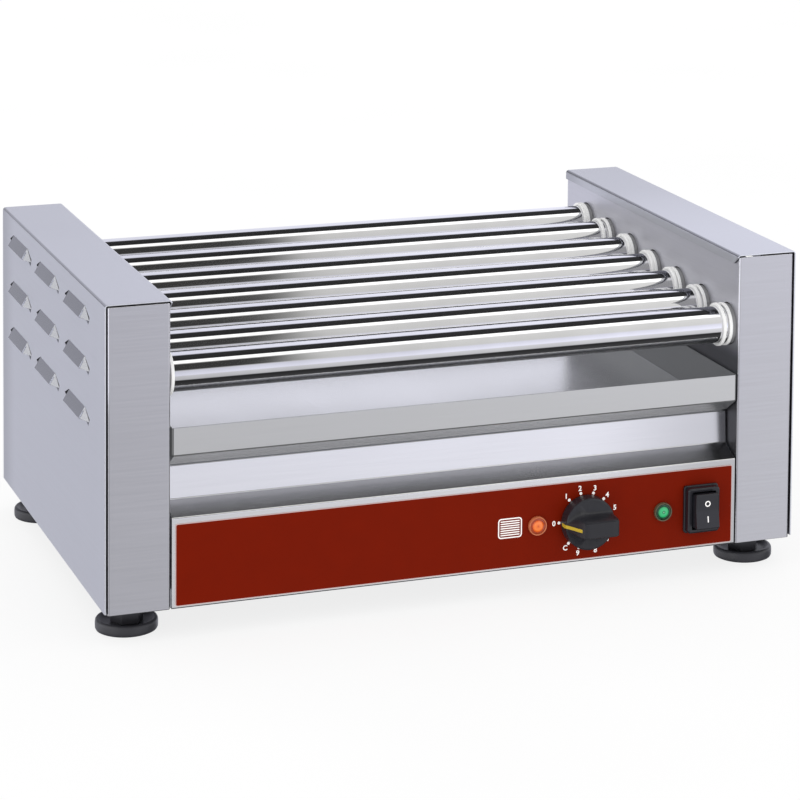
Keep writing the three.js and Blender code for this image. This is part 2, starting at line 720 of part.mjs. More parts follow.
grill.add(piece("base_pan", basePan(), "galvanized"));
grill.add(piece("control_panel", controlPanel(), "steel"));
grill.add(piece("panel_overlay", panelOverlay(), "red"));
grill.add(piece("rear_panel", rearPanel(), "steel"));
grill.add(piece("power_inlet", powerInlet(), "black"));
grill.add(piece("amber_lamp", pilotLamp(AMBER_LAMP_X), "amber"));
grill.add(piece("green_lamp", pilotLamp(GREEN_LAMP_X), "green"));
grill.add(piece("thermostat_body", thermostatBody(), "dark"));
grill.add(piece("thermostat_knob", thermostatKnob(), "black"));
grill.add(piece("switch_bezel", switchBezel(), "black"));
grill.add(piece("switch_rocker", switchRocker(), "black"));
grill.add(piece("drip_tray", dripTray(), "steel"));
grill.add(piece("gear_motor", gearMotor(), "dark"));
grill.add(piece("motor_sprocket", motorSprocket(), "galvanized"));
grill.add(piece("drive_chain", driveChain(), "dark"));

const rollerBed = new THREE.Group();
rollerBed.position.set(0, FRONT_AXIS_Y, FRONT_AXIS_Z);
rollerBed.rotation.x = BED_TILT;
grill.add(rollerBed);
for (const [word, side] of Object.entries(SIDES)) {
  rollerBed.add(piece(`${word}_heater_bracket`, heaterBracket(side), "galvanized"));
}
for (let number = 1; number <= ROLLERS; number += 1) {
  const station = new THREE.Group();
  station.position.y = (number - 1) * PITCH;
  station.add(piece(`roller_${number}_tube`, rollerTube(), "chrome"));
  station.add(piece(`roller_${number}_sprocket`, rollerSprocket(), "galvanized"));
  station.add(piece(`heater_rod_${number}`, heaterRod(), "dark"));
  station.add(piece(`bush_${number}_left`, rollerBush(SIDES.left), "white"));
  station.add(piece(`bush_${number}_right`, rollerBush(SIDES.right), "white"));
  rollerBed.add(station);
}

export default grill;
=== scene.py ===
"""Looks for the hot dog roller grill: sheet metal, chrome rollers, controls and the studio round them."""
import json
import math
import random
from contextlib import contextmanager

import bmesh
import bpy
from mathutils import Euler, Matrix, Vector
from mathutils.geometry import delaunay_2d_cdt

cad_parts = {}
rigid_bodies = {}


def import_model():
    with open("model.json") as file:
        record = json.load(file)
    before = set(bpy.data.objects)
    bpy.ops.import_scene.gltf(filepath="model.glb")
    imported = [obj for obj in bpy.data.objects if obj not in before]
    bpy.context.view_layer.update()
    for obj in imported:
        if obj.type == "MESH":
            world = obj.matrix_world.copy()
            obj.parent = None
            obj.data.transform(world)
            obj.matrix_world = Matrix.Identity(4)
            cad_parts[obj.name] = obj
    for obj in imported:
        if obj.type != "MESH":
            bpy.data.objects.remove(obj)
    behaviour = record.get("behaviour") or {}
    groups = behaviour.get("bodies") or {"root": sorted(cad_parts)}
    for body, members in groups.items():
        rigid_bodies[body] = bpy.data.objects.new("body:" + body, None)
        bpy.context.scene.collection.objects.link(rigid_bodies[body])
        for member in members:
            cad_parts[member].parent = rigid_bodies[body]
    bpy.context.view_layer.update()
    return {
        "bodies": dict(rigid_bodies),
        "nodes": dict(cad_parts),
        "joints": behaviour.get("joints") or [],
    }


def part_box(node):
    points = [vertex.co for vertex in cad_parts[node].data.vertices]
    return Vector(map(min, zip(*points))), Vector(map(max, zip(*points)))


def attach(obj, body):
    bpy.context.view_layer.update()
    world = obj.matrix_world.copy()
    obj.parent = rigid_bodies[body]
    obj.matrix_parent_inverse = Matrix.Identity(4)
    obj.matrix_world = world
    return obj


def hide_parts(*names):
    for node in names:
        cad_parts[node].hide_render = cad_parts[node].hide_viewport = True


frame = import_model()

MM = 0.001
SIDES = {"left": -1, "right": 1}
FEET = ["front_left_foot", "front_right_foot", "rear_left_foot", "rear_right_foot"]


def box_mm(node):
    """Lowest and highest corner of a CAD node, in millimetres."""
    low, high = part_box(node)
    return low / MM, high / MM


# ---- places read from the frame, in millimetres ----
FRAME_LOW, FRAME_HIGH = box_mm("right_end_frame")
COVER_LOW, COVER_HIGH = box_mm("right_end_cover")
PANEL_LOW, PANEL_HIGH = box_mm("control_panel")
OVERLAY_LOW, OVERLAY_HIGH = box_mm("panel_overlay")
TRAY_LOW, TRAY_HIGH = box_mm("drip_tray")
REAR_LOW, REAR_HIGH = box_mm("rear_panel")
KNOB_LOW, KNOB_HIGH = box_mm("thermostat_knob")
BEZEL_LOW, BEZEL_HIGH = box_mm("switch_bezel")
INLET_LOW, INLET_HIGH = box_mm("power_inlet")
FOOT_LOW, FOOT_HIGH = box_mm("front_right_foot")
JOINTS = {joint["name"]: joint for joint in frame["joints"]}


def joint_mm(name):
    return Vector(JOINTS[name]["pos_m"]) / MM


FRONT = FRAME_LOW.y
REAR = FRAME_HIGH.y
INNER = FRAME_LOW.x
BASE = FRAME_LOW.z
TOP = COVER_HIGH.z
OUTER = INNER + 43.3
SHEET = 1.2
COVER_SHEET = 1.0
ROLLERS = 7
ROLLER_RADIUS = 12.7


# ---- mesh helpers ----
def new_object(name, mesh):
    obj = bpy.data.objects.new(name, mesh)
    bpy.context.scene.collection.objects.link(obj)
    return obj


def from_faces(name, verts, faces):
    mesh = bpy.data.meshes.new(name)
    mesh.from_pydata([Vector(v) * MM for v in verts], [], faces)
    obj = new_object(name, mesh)
    recalculate(obj)
    return obj


@contextmanager
def edit_mesh(obj):
    bm = bmesh.new()
    bm.from_mesh(obj.data)
    yield bm
    bm.to_mesh(obj.data)
    bm.free()


def recalculate(obj):
    with edit_mesh(obj) as bm:
        bmesh.ops.remove_doubles(bm, verts=bm.verts, dist=1e-7)
        bmesh.ops.recalc_face_normals(bm, faces=bm.faces)


def apply_modifiers(obj):
    graph = bpy.context.evaluated_depsgraph_get()
    mesh = bpy.data.meshes.new_from_object(obj.evaluated_get(graph))
    old = obj.data
    obj.modifiers.clear()
    obj.data = mesh
    bpy.data.meshes.remove(old)
    return obj


def add_modifier(obj, kind, **settings):
    modifier = obj.modifiers.new(kind.lower(), kind)
    for key, value in settings.items():
        setattr(modifier, key, value)


def bevel(obj, width, segments=2, angle=40):
    limit = {"limit_method": "ANGLE", "angle_limit": math.radians(angle), "use_clamp_overlap": True}
    add_modifier(obj, "BEVEL", width=width * MM, segments=segments, **limit)
    return apply_modifiers(obj)


def thicken(obj, thickness):
    add_modifier(obj, "SOLIDIFY", thickness=thickness * MM, offset=-1, use_even_offset=True)
    return apply_modifiers(obj)


def boolean(obj, others, operation="DIFFERENCE"):
    """Cuts the other objects out of obj, or joins them to it, and removes them."""
    for other in others:
        add_modifier(obj, "BOOLEAN", operation=operation, solver="EXACT", object=other)
    apply_modifiers(obj)
    for other in others:
        bpy.data.objects.remove(other)
    return obj


def join_objects(name, objects):
    """One object from several, which are removed."""
    bm = bmesh.new()
    for obj in objects:
        bm.from_mesh(obj.data)
        bpy.data.objects.remove(obj)
    mesh = bpy.data.meshes.new(name)
    bm.to_mesh(mesh)
    bm.free()
    return new_object(name, mesh)


def smooth(obj, angle=32):
    """Smooth shading up to the angle; wide flat faces keep their own normal."""
    obj.data.polygons.foreach_set("use_smooth", [True] * len(obj.data.polygons))
    obj.data.set_sharp_from_angle(angle=math.radians(angle))
    add_modifier(obj, "WEIGHTED_NORMAL", weight=100, keep_sharp=True)
    return apply_modifiers(obj)


def finish_piece(obj, body, material, replaces=(), angle=32):
    """Shades the piece, hands it to the body it belongs to, and hides the CAD nodes it replaces."""
    obj.data.materials.clear()
    obj.data.materials.append(material)
    smooth(obj, angle)
    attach(obj, body)
    if replaces:
        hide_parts(*replaces)
    return obj


def turn_angle(before, after):
    return math.atan2(before.cross(after), before.dot(after))


def folded_rows(path, thickness, inner_radius, steps=5):
    """Rows of (right side point, left side point) along a sheet folded along path.

    The sheet's thickness lies to the left of the path. Corners become bends of the inner radius,
    which is one number or one for each corner."""
    radii = inner_radius if isinstance(inner_radius, list) else [inner_radius] * (len(path) - 2)
    path = [Vector(point) for point in path]
    headings = [(after - before).normalized() for before, after in zip(path, path[1:])]
    rows = [(path[0], headings[0].orthogonal())]
    for corner, before, after, bend in zip(path[1:], headings, headings[1:], radii):
        turn = turn_angle(before, after)
        way = 1 if turn > 0 else -1
        radius = bend + (thickness if way > 0 else 0)
        normal = before.orthogonal()
        centre = corner - before * radius * math.tan(abs(turn) / 2) + normal * way * radius
        for step in range(steps + 1):
            turned = Matrix.Rotation(turn * step / steps, 2) @ normal
            rows.append((centre - turned * way * radius, turned))
    rows.append((path[-1], headings[-1].orthogonal()))
    return [(point, point + normal * thickness) for point, normal in rows]


PLACE = {
    "x": lambda u, v, w: (w, u, v),
    "y": lambda u, v, w: (u, w, v),
    "z": lambda u, v, w: (u, v, w),
}


def loft(name, sections):
    """A closed skin over sections of equally many points, with both ends capped."""
    count = len(sections[0])
    verts = [point for section in sections for point in section]
    faces = [tuple(range(count)), tuple(range(len(verts) - count, len(verts)))]
    for a in range(0, len(verts) - count, count):
        for k in range(count):
            after = (k + 1) % count
            faces.append((a + k, a + after, a + count + after, a + count + k))
    return from_faces(name, verts, faces)


def folded_sheet(name, path, thickness, inner_radius, axis, start, end):
    """A sheet folded along path in the plane across axis, running from start to end along it."""
    place = PLACE[axis]
    sections = []
    for right, left in folded_rows(path, thickness, inner_radius):
        sections.append([place(*right, start), place(*left, start), place(*left, end), place(*right, end)])
    return loft(name, sections)


def prism(name, outline, axis, start, end):
    place = PLACE[axis]
    return loft(name, [[place(*point, level) for point in outline] for level in (start, end)])


def rectangle(a0, a1, b0, b1):
    return [(a0, b0), (a1, b0), (a1, b1), (a0, b1)]


def rounded_outline(a0, a1, b0, b1, radius, steps=6):
    points = []
    for quarter, (a, b) in enumerate(rectangle(a1 - radius, a0 + radius, b1 - radius, b0 + radius)):
        for step in range(steps + 1):
            angle = (quarter + step / steps) * math.pi / 2
            points.append((a + radius * math.cos(angle), b + radius * math.sin(angle)))
    return points


def circle_outline(a, b, radius, count=48):
    angles = [2 * math.pi * i / count for i in range(count)]
    return [(a + radius * math.cos(angle), b + radius * math.sin(angle)) for angle in angles]


def slab(name, centre, half, radius, front, back):
    """An upright rounded rectangle that faces the front; centre and half size are (x, z)."""
    (x, z), (w, h) = centre, half
    return prism(name, rounded_outline(x - w, x + w, z - h, z + h, radius), "y", front, back)


def lathe(name, profile, segments=64):
    """A closed profile of (radius, height) turned about Z. Points of radius 0 lie on the axis."""
    verts, rings = [], []
    for radius, height in profile:
        if radius < 1e-6:
            rings.append([len(verts)])
            verts.append((0, 0, height))
            continue
        rings.append(list(range(len(verts), len(verts) + segments)))
        for i in range(segments):
            angle = 2 * math.pi * i / segments
            verts.append((radius * math.cos(angle), radius * math.sin(angle), height))
    faces = []
    for lower, upper in zip(rings, rings[1:]):
        for i in range(segments):
            corners = ((lower, i), (lower, i + 1), (upper, i + 1), (upper, i))
            face = tuple(dict.fromkeys(ring[k % len(ring)] for ring, k in corners))
            if len(face) > 2:
                faces.append(face)
    return from_faces(name, verts, faces)


def closed_lathe(name, profile, segments=64):
    """A ring: the profile's last point joins its first."""
    return lathe(name, list(profile) + [profile[0]], segments)


def move(obj, location, rotation=(0, 0, 0)):
    """Puts the mesh itself in place; the location is in millimetres, the rotation in degrees."""
    turn = Euler([math.radians(a) for a in rotation]).to_matrix().to_4x4()
    obj.data.transform(Matrix.Translation(Vector(location) * MM) @ turn)
    obj.data.update()
    return obj


def rounded_profile(points, radius, steps=4):
    """The closed profile with each corner rounded by the radius."""
    corners = [Vector(point) for point in points]
    result = []
    for i, corner in enumerate(corners):
        before = (corner - corners[i - 1]).normalized()
        after = (corners[(i + 1) % len(corners)] - corner).normalized()
        reach = radius * math.tan(abs(turn_angle(before, after)) / 2)
        start, end = corner - before * reach, corner + after * reach
        for step in range(steps + 1):
            t = step / steps
            result.append(tuple(start * (1 - t) ** 2 + corner * 2 * t * (1 - t) + end * t * t))
    return result


# ---- materials ----
class Shade:
    """A node tree being built. Each method adds nodes; its values are sockets or plain numbers."""

    def __init__(self, tree):
        self.nodes = tree.nodes
        self.links = tree.links

    def add(self, kind, **settings):
        node = self.nodes.new("ShaderNode" + kind)
        for key, value in settings.items():
            setattr(node, key, value)
        return node

    def feed(self, socket, value):
        if isinstance(value, bpy.types.NodeSocket):
            self.links.new(value, socket)
        else:
            socket.default_value = value

    def math(self, operation, a, b=0):
        node = self.add("Math", operation=operation)
        self.feed(node.inputs[0], a)
        self.feed(node.inputs[1], b)
        return node.outputs["Value"]

    def vector(self, operation, a, b):
        node = self.add("VectorMath", operation=operation)
        self.feed(node.inputs[0], a)
        self.feed(node.inputs[1], b)
        return node.outputs["Vector"]

    def scaled(self, colour, factor):
        node = self.add("VectorMath", operation="SCALE")
        self.feed(node.inputs[0], colour)
        self.feed(node.inputs["Scale"], factor)
        return node.outputs["Vector"]

    def split(self, vector):
        node = self.add("SeparateXYZ")
        self.feed(node.inputs["Vector"], vector)
        return node.outputs

    def map_range(self, value, start, end, low, high, kind="LINEAR"):
        node = self.add("MapRange", interpolation_type=kind)
        for key, number in (("From Min", start), ("From Max", end), ("To Min", low), ("To Max", high)):
            node.inputs[key].default_value = number
        self.feed(node.inputs["Value"], value)
        return node.outputs["Result"]

    def smooth_step(self, value, start, end):
        """0 before start, 1 after end, eased between; start may be the higher one."""
        low, high = (0, 1) if start < end else (1, 0)
        return self.map_range(value, min(start, end), max(start, end), low, high, "SMOOTHSTEP")

    def gain(self, share, gain):
        """1 where share is 0, and gain where it is 1."""
        return self.math("ADD", self.math("MULTIPLY", share, gain - 1), 1)

    def noise(self, scale, detail=2.0):
        """Noise in object space, stretched by a scale per axis, in cells per metre."""
        mapping = self.add("Mapping")
        mapping.inputs["Scale"].default_value = scale
        self.feed(mapping.inputs["Vector"], self.add("TexCoord").outputs["Object"])
        node = self.add("TexNoise")
        node.inputs["Scale"].default_value = 1.0
        node.inputs["Detail"].default_value = detail
        self.feed(node.inputs["Vector"], mapping.outputs["Vector"])
        return node.outputs["Fac"]

    def spread(self, noise, low, high):
        """The middle half of the noise's range, stretched from low to high."""
        return self.map_range(noise, 0.25, 0.75, low, high)

    def ramp(self, value, stops):
        """Colours by position: stops is a rising list of (position, colour)."""
        node = self.add("ValToRGB")
        elements = node.color_ramp.elements
        while len(elements) > 1:
            elements.remove(elements[-1])
        elements[0].position = stops[0][0]
        for position, _ in stops[1:]:
            elements.new(position)
        for element, (_, colour) in zip(elements, stops):
            element.color = (*colour, 1)
        self.feed(node.inputs["Fac"], value)
        return node.outputs["Color"]

    def mottle(self, noise, dark, light):
        return self.ramp(noise, [(0.3, dark), (0.7, light)])

    def varied(self, noise, colour, darker, lighter):
        """The colour times a factor that the noise moves from darker to lighter."""
        return self.mottle(noise, [c * darker for c in colour], [min(1, c * lighter) for c in colour])


class Surface(Shade):
    """A material built round its Principled shader."""

    def __init__(self, name):
        self.material = bpy.data.materials.new(name)
        self.material.use_nodes = True
        super().__init__(self.material.node_tree)
        self.shader = self.nodes["Principled BSDF"]

    def set(self, **inputs):
        """Feeds the shader's inputs; an underscore stands for a space in an input's name."""
        for key, value in inputs.items():
            self.feed(self.shader.inputs[key.replace("_", " ")], value)

    def bump(self, height, strength, distance):
        node = self.add("Bump")
        node.inputs["Strength"].default_value = strength
        node.inputs["Distance"].default_value = distance * MM
        self.feed(node.inputs["Height"], height)
        self.set(Normal=node.outputs["Normal"])

    def facing_gain(self, along_axis, low, high, gain):
        """1, or gain on faces whose normal has this much of one axis, with soft edges."""
        size = self.math("ABSOLUTE", along_axis)
        above = self.smooth_step(size, low - 0.03, low + 0.03)
        below = self.smooth_step(size, high + 0.03, high - 0.03)
        return self.gain(self.math("MULTIPLY", above, below), gain)

    def place_gain(self, geometry, axis, start, end, gain, facing):
        """gain at start, easing to 1 at end along one axis, in as far as the face looks along facing."""
        place = self.split(geometry["Position"])
        share = self.smooth_step(place[axis], end * MM, start * MM)
        turned = self.math("ABSOLUTE", self.split(geometry["Normal"])[facing])
        return self.gain(self.math("MULTIPLY", share, turned), gain)


def brushed_steel(name, colour, roughness=0.3, grain=1.0, side_roughness=0.0, tones=(), fades=(), glow=0.0):
    """Stainless sheet with horizontal grain on upright faces and front-to-back grain on flat ones.

    side_roughness: how much duller the faces across X are; they stay smooth in reflections, where their
    colour is also dimmed as painted shade.
    tones: (axis, low, high, gain), painted shade or painted highlight on faces that point a certain way,
    such as slopes, hoods and bends.
    fades: (axis, start, end, gain, facing), painted shade that changes slowly along a sheet.
    glow: painted light, an even bluish glow added to the sheet's colour.
    """
    sheet = Surface(name)
    along, fine, coarse = 18, 2600, 700
    geometry = sheet.add("NewGeometry").outputs
    normal = sheet.split(geometry["Normal"])
    is_flat = sheet.math("GREATER_THAN", sheet.math("ABSOLUTE", normal["Z"]), 0.97)

    def grain_field(across, detail):
        mix = sheet.add("Mix", data_type="FLOAT")
        sheet.feed(mix.inputs["Factor"], is_flat)
        sheet.feed(mix.inputs["A"], sheet.noise((along, along, across), detail))
        sheet.feed(mix.inputs["B"], sheet.noise((across, along, along), detail))
        return mix.outputs["Result"]

    fine_field, coarse_field = grain_field(fine, 1.0), grain_field(coarse, 3.0)
    steel = sheet.varied(coarse_field, colour, 1 - 0.035 * grain, 1 + 0.025 * grain)
    # Painted shade and highlight by the way each face points, then painted shade along the sheet.
    for axis, low, high, gain in tones:
        steel = sheet.scaled(steel, sheet.facing_gain(normal[axis], low, high, gain))
    for fade in fades:
        steel = sheet.scaled(steel, sheet.place_gain(geometry, *fade))
    is_side = sheet.smooth_step(sheet.math("ABSOLUTE", normal["X"]), 0.85, 0.97)
    mirrored = sheet.math("MULTIPLY", is_side, sheet.add("LightPath").outputs["Is Glossy Ray"])
    # Painted shade: the side faces are darkened where they are seen in reflections.
    if side_roughness > 0:
        steel = sheet.scaled(steel, sheet.gain(mirrored, 0.7))
    streaks = sheet.spread(coarse_field, roughness - 0.02 * grain, roughness + 0.02 * grain)
    smudges = sheet.spread(sheet.noise((9, 9, 9), 3.0), -0.02, 0.03)
    seen = sheet.math("SUBTRACT", is_side, mirrored)
    extra = sheet.math("MULTIPLY", seen, side_roughness)
    sheet.set(
        Base_Color=steel,
        Roughness=sheet.math("ADD", sheet.math("ADD", streaks, smudges), extra),
        Metallic=1.0,
        # Painted light: the glow, bluish white.
        Emission_Color=(0.92, 0.95, 1.0, 1),
        Emission_Strength=glow,
    )
    sheet.bump(fine_field, 0.05 * grain, 0.01)
    return sheet.material


def chrome(name):
    """Bright plating with a faint haze, and painted shade on the underside: its colour is darkened there in
    place of the dark machine parts it mirrors.
    """
    plate = Surface(name)
    haze = plate.noise((40, 40, 40), 2.0)
    bright = plate.mottle(haze, (0.87, 0.87, 0.90), (0.93, 0.93, 0.96))
    normal = plate.split(plate.add("NewGeometry").outputs["Normal"])
    # Painted shade: faces that look downwards are darkened.
    under = plate.smooth_step(normal["Z"], -0.52, -0.68)
    plate.set(
        Base_Color=plate.scaled(bright, plate.gain(under, 0.28)),
        Roughness=plate.spread(plate.noise((8, 160, 160), 3.0), 0.035, 0.075),
        Metallic=1.0,
    )
    return plate.material


def plastic(name, colour, roughness=0.4, texture=900, bump=0.04, coat=0.0, tint=0.12, shine=0.5, glow=0.0):
    """Moulded plastic with a fine spark-eroded texture and slight colour variation; any glow is painted
    light.
    """
    moulding = Surface(name)
    cloud = moulding.noise((60, 60, 60), 3.0)
    moulding.set(
        Base_Color=moulding.varied(cloud, colour, 1 - tint, 1 + tint),
        Roughness=moulding.spread(cloud, roughness - 0.05, roughness + 0.05),
        Specular_IOR_Level=shine,
        Emission_Color=(*colour, 1),
        Emission_Strength=glow,
        Coat_Weight=coat,
        Coat_Roughness=0.15,
    )
    moulding.bump(moulding.noise((texture,) * 3, 2.0), bump, 0.05)
    return moulding.material


def dull_metal(name, colour, roughness, metallic=1.0):
    """Galvanized, oiled or heat-darkened metal with a mottled surface."""
    metal = Surface(name)
    spots = metal.noise((150, 150, 150), 4.0)
    metal.set(
        Base_Color=metal.varied(spots, colour, 0.75, 1.2),
        Roughness=metal.spread(spots, roughness - 0.08, roughness + 0.08),
        Metallic=metallic,
    )
    metal.bump(spots, 0.15, 0.05)
    return metal.material


LENS_REACH = 8.0


def lens(name, centre, rings, glow):
    """Translucent moulded lamp cap: rings of colour by distance from the lamp's axis, in millimetres."""
    cap = Surface(name)
    offset = cap.vector("SUBTRACT", cap.add("TexCoord").outputs["Object"], centre * MM)
    length = cap.add("VectorMath", operation="LENGTH")
    cap.feed(length.inputs[0], cap.vector("MULTIPLY", offset, (1 / MM, 0, 1 / MM)))
    reach = cap.math("DIVIDE", length.outputs["Value"], LENS_REACH)
    colour = cap.ramp(reach, [(radius / LENS_REACH, tone) for radius, tone in rings])
    cap.set(
        Base_Color=colour,
        Emission_Color=colour,
        Emission_Strength=glow,
        Roughness=0.12,
        Coat_Weight=0.8,
    )
    cap.bump(cap.noise((520, 520, 520), 1.0), 0.45, 0.35)
    return cap.material


# ---- the machine's materials ----
# Painted shade on faces that lean part way upwards (the louvre hoods and the top bend), and a painted
# highlight on faces that look to the front or back (the sheet's cut edges).
COVER_HOOD_SHADE_AND_EDGE_HIGHLIGHT = [("Z", 0.465, 0.62, 0.60), ("Z", 0.62, 0.93, 0.66), ("Y", 0.9, 1.1, 1.5)]
# Painted shade: the covers grow darker towards the rear, on the sides and on the top (more so on the right
# top), so each side gets its own shaded copy of the steel.
COVER_REAR_SHADE = {
    "left": [("Y", REAR, REAR - 45, 0.80, "X"), ("Y", REAR, FRONT + 60, 0.93, "Z")],
    "right": [("Y", REAR, REAR - 45, 0.80, "X"), ("Y", REAR, FRONT + 60, 0.72, "Z")],
}
COVER_STEEL = {
    word: brushed_steel("cover_steel_" + word, (0.62, 0.63, 0.67), 0.22, 0.5, 0.2, COVER_HOOD_SHADE_AND_EDGE_HIGHLIGHT, fades)
    for word, fades in COVER_REAR_SHADE.items()
}
# Painted shade: faces across X are darkened below the rollers, to a fifth of their colour at 148 mm and
# below, easing back by 172 mm.
FRAME_UNDER_ROLLER_SHADE = [("Z", 148, 172, 0.2, "X")]
# Painted highlight: the bends and bevelled edges between the frame's main faces are brightened.
FRAME_BEND_HIGHLIGHT = [("X", 0.3, 0.85, 1.34), ("Z", 0.25, 0.9, 1.34)]
FRAME_STEEL = brushed_steel("frame_steel", (0.69, 0.69, 0.74), 0.20, 0.7, 0.22, FRAME_BEND_HIGHLIGHT, FRAME_UNDER_ROLLER_SHADE)
# Painted shade on the slope above the control face.
PANEL_SLOPE_SHADE = [("Z", 0.8, 0.94, 0.5)]
# Painted shade: faces that look to the front or back grow darker towards the right end.
PANEL_RIGHT_SHADE = [("X", 200, 80, 0.70, "Y")]
PANEL_STEEL = brushed_steel("panel_steel", (0.97, 0.97, 0.99), 0.20, 0.5, 0.0, PANEL_SLOPE_SHADE, PANEL_RIGHT_SHADE)
# Painted shade: the tray's side walls are much darker and its front and rear walls somewhat darker.
TRAY_WALL_SHADE = [("X", 0.15, 1.1, 0.14), ("Y", 0.9, 1.1, 0.68)]
# Painted light: the tray also glows a little, to lighten its floor.
TRAY_STEEL = brushed_steel("tray_steel", (1.0, 1.0, 1.0), 0.24, 0.6, 0.0, TRAY_WALL_SHADE, glow=0.06)
CHROME = chrome("roller_chrome")
GALVANIZED = dull_metal("galvanized_steel", (0.55, 0.57, 0.60), 0.45)
OILED = dull_metal("oiled_steel", (0.22, 0.22, 0.23), 0.42)
SHEATH = dull_metal("heater_sheath", (0.30, 0.27, 0.25), 0.5)
MOTOR = dull_metal("motor_paint", (0.14, 0.14, 0.15), 0.5, 0.3)
SCREW_STEEL = dull_metal("screw_steel", (0.62, 0.62, 0.64), 0.3)
RED = plastic("red_overlay", (0.188, 0.009, 0.0008), 0.5, 500, 0.02, tint=0.03, shine=0.05)
BLACK = plastic("switch_black", (0.012, 0.012, 0.017), 0.34, 900, 0.03, coat=0.2)
KNOB_BLACK = plastic("knob_black", (0.018, 0.018, 0.023), 0.36, 900, 0.05)
FOOT_BLACK = plastic("foot_black", (0.036, 0.036, 0.043), 0.40, 600, 0.06)
# Painted light: the bushes and seal rings glow a little, so that they read bright white.
WHITE = plastic("bush_white", (0.93, 0.93, 0.92), 0.38, 700, 0.05, tint=0.04, glow=0.07)
EDGE = plastic("overlay_edge", (0.62, 0.44, 0.42), 0.4, 500, 0.01, tint=0.02)
# Painted light: the white print glows, so that it reads brighter.
PRINT = plastic("white_print", (0.92, 0.90, 0.88), 0.5, 500, 0.01, tint=0.02, glow=0.25)
YELLOW = plastic("pointer_yellow", (0.62, 0.44, 0.03), 0.45, 500, 0.02, tint=0.05)
# Painted shade: the bush necks are dark grey for the shade in the gap between the flange and the frame.
BUSH_NECK_SHADE = plastic("bush_shade", (0.30, 0.30, 0.31), 0.4, 700, 0.05)
CONTROL_DARK = plastic("control_body", (0.08, 0.08, 0.09), 0.5)


# ---- end housings ----
LOUVRE_ROWS = [TOP - 12.5 - 33.7 * row for row in range(3)]
LOUVRE_COLUMNS = [FRONT + 257.5 - 89.5 * column for column in range(3)]
LOUVRE_CORNERS = {
    # (along, drop, outward reach) from the middle of the louvre's hinge line
    "hinge": (23, 0, 0),
    "split": (23.14, 2.7, 1.54),
    "brow": (23.4, 7.7, 4.4),
    "slot_top": (23.96, 2.79, 0.96),
    "slot_foot": (24.22, 7.78, 3.82),
    "heel": (31.2, 8.5, -1.1),
    "toe": (36.5, 5.5, 0),
    "under": (33, 11, 0),
    "sill": (27, 8.9, 0),
}
LOUVRE_ENDS = {"rear_": 1, "front_": -1}
LOUVRE_EDGES = [("rear_" + name, "front_" + name) for name in ("hinge", "brow", "sill")]
LOUVRE_END_EDGES = [
    ("hinge", "split"),
    ("split", "brow"),
    ("split", "slot_top"),
    ("slot_top", "slot_foot"),
    ("brow", "slot_foot"),
    ("slot_foot", "heel"),
    ("hinge", "heel"),
    ("hinge", "toe"),
    ("toe", "heel"),
    ("toe", "under"),
    ("under", "heel"),
    ("under", "sill"),
    ("sill", "heel"),
]
# The open slit under the hood, and the dent and the slot at each end.
LOUVRE_SLIT = ("rear_brow", "front_brow", "front_heel", "front_sill", "rear_sill", "rear_heel")
LOUVRE_END_GAPS = [("hinge", "heel", "toe"), ("split", "brow", "slot_foot", "slot_top")]


def louvre_points(y, z):
    """Corners of one louvre as (y, z, outward reach), with its slanted ends and dents."""
    points = {}
    for end, way in LOUVRE_ENDS.items():
        for name, (along, drop, out) in LOUVRE_CORNERS.items():
            points[end + name] = (y + way * along, z - drop, out)
    return points


def in_polygon(point, polygon):
    """Whether a ray from the point crosses the polygon's edges an odd number of times."""
    inside = False
    for (a0, b0), (a1, b1) in zip(polygon, polygon[1:] + polygon[:1]):
        if (b0 > point[1]) != (b1 > point[1]):
            if point[0] < (a1 - a0) * (point[1] - b0) / (b1 - b0) + a0:
                inside = not inside
    return inside


def louvred_side(side_top):
    """The cover's outer side laid out flat, with its louvres, and triangulated round their gaps.

    Gives its points as (y, z, outward reach), its faces, and the numbers of its two top corners."""
    points = [(FRONT, COVER_LOW.z, 0), (REAR, COVER_LOW.z, 0), (REAR, side_top, 0), (FRONT, side_top, 0)]
    edges, gaps = [(0, 1), (1, 2), (2, 3), (3, 0)], []
    for z in LOUVRE_ROWS:
        for y in LOUVRE_COLUMNS:
            named = louvre_points(y, z)
            index = {key: len(points) + i for i, key in enumerate(named)}
            points += named.values()
            edges += [(index[a], index[b]) for a, b in LOUVRE_EDGES]
            gaps.append([named[key][:2] for key in LOUVRE_SLIT])
            for end in LOUVRE_ENDS:
                edges += [(index[end + a], index[end + b]) for a, b in LOUVRE_END_EDGES]
                gaps += [[named[end + key][:2] for key in keys] for keys in LOUVRE_END_GAPS]
    places = [Vector(point[:2]) for point in points]
    flat, _, triangles, origin, _, _ = delaunay_2d_cdt(places, edges, [], 1, 1e-6)
    faces = []
    for triangle in triangles:
        middle = sum((flat[i] for i in triangle), Vector((0, 0))) / len(triangle)
        if not any(in_polygon(middle, gap) for gap in gaps):
            faces.append(tuple(triangle))
    corner = {source[0]: i for i, source in enumerate(origin)}
    shaped = [(*point, points[source[0]][2]) for point, source in zip(flat, origin)]
    return shaped, faces, (corner[3], corner[2])


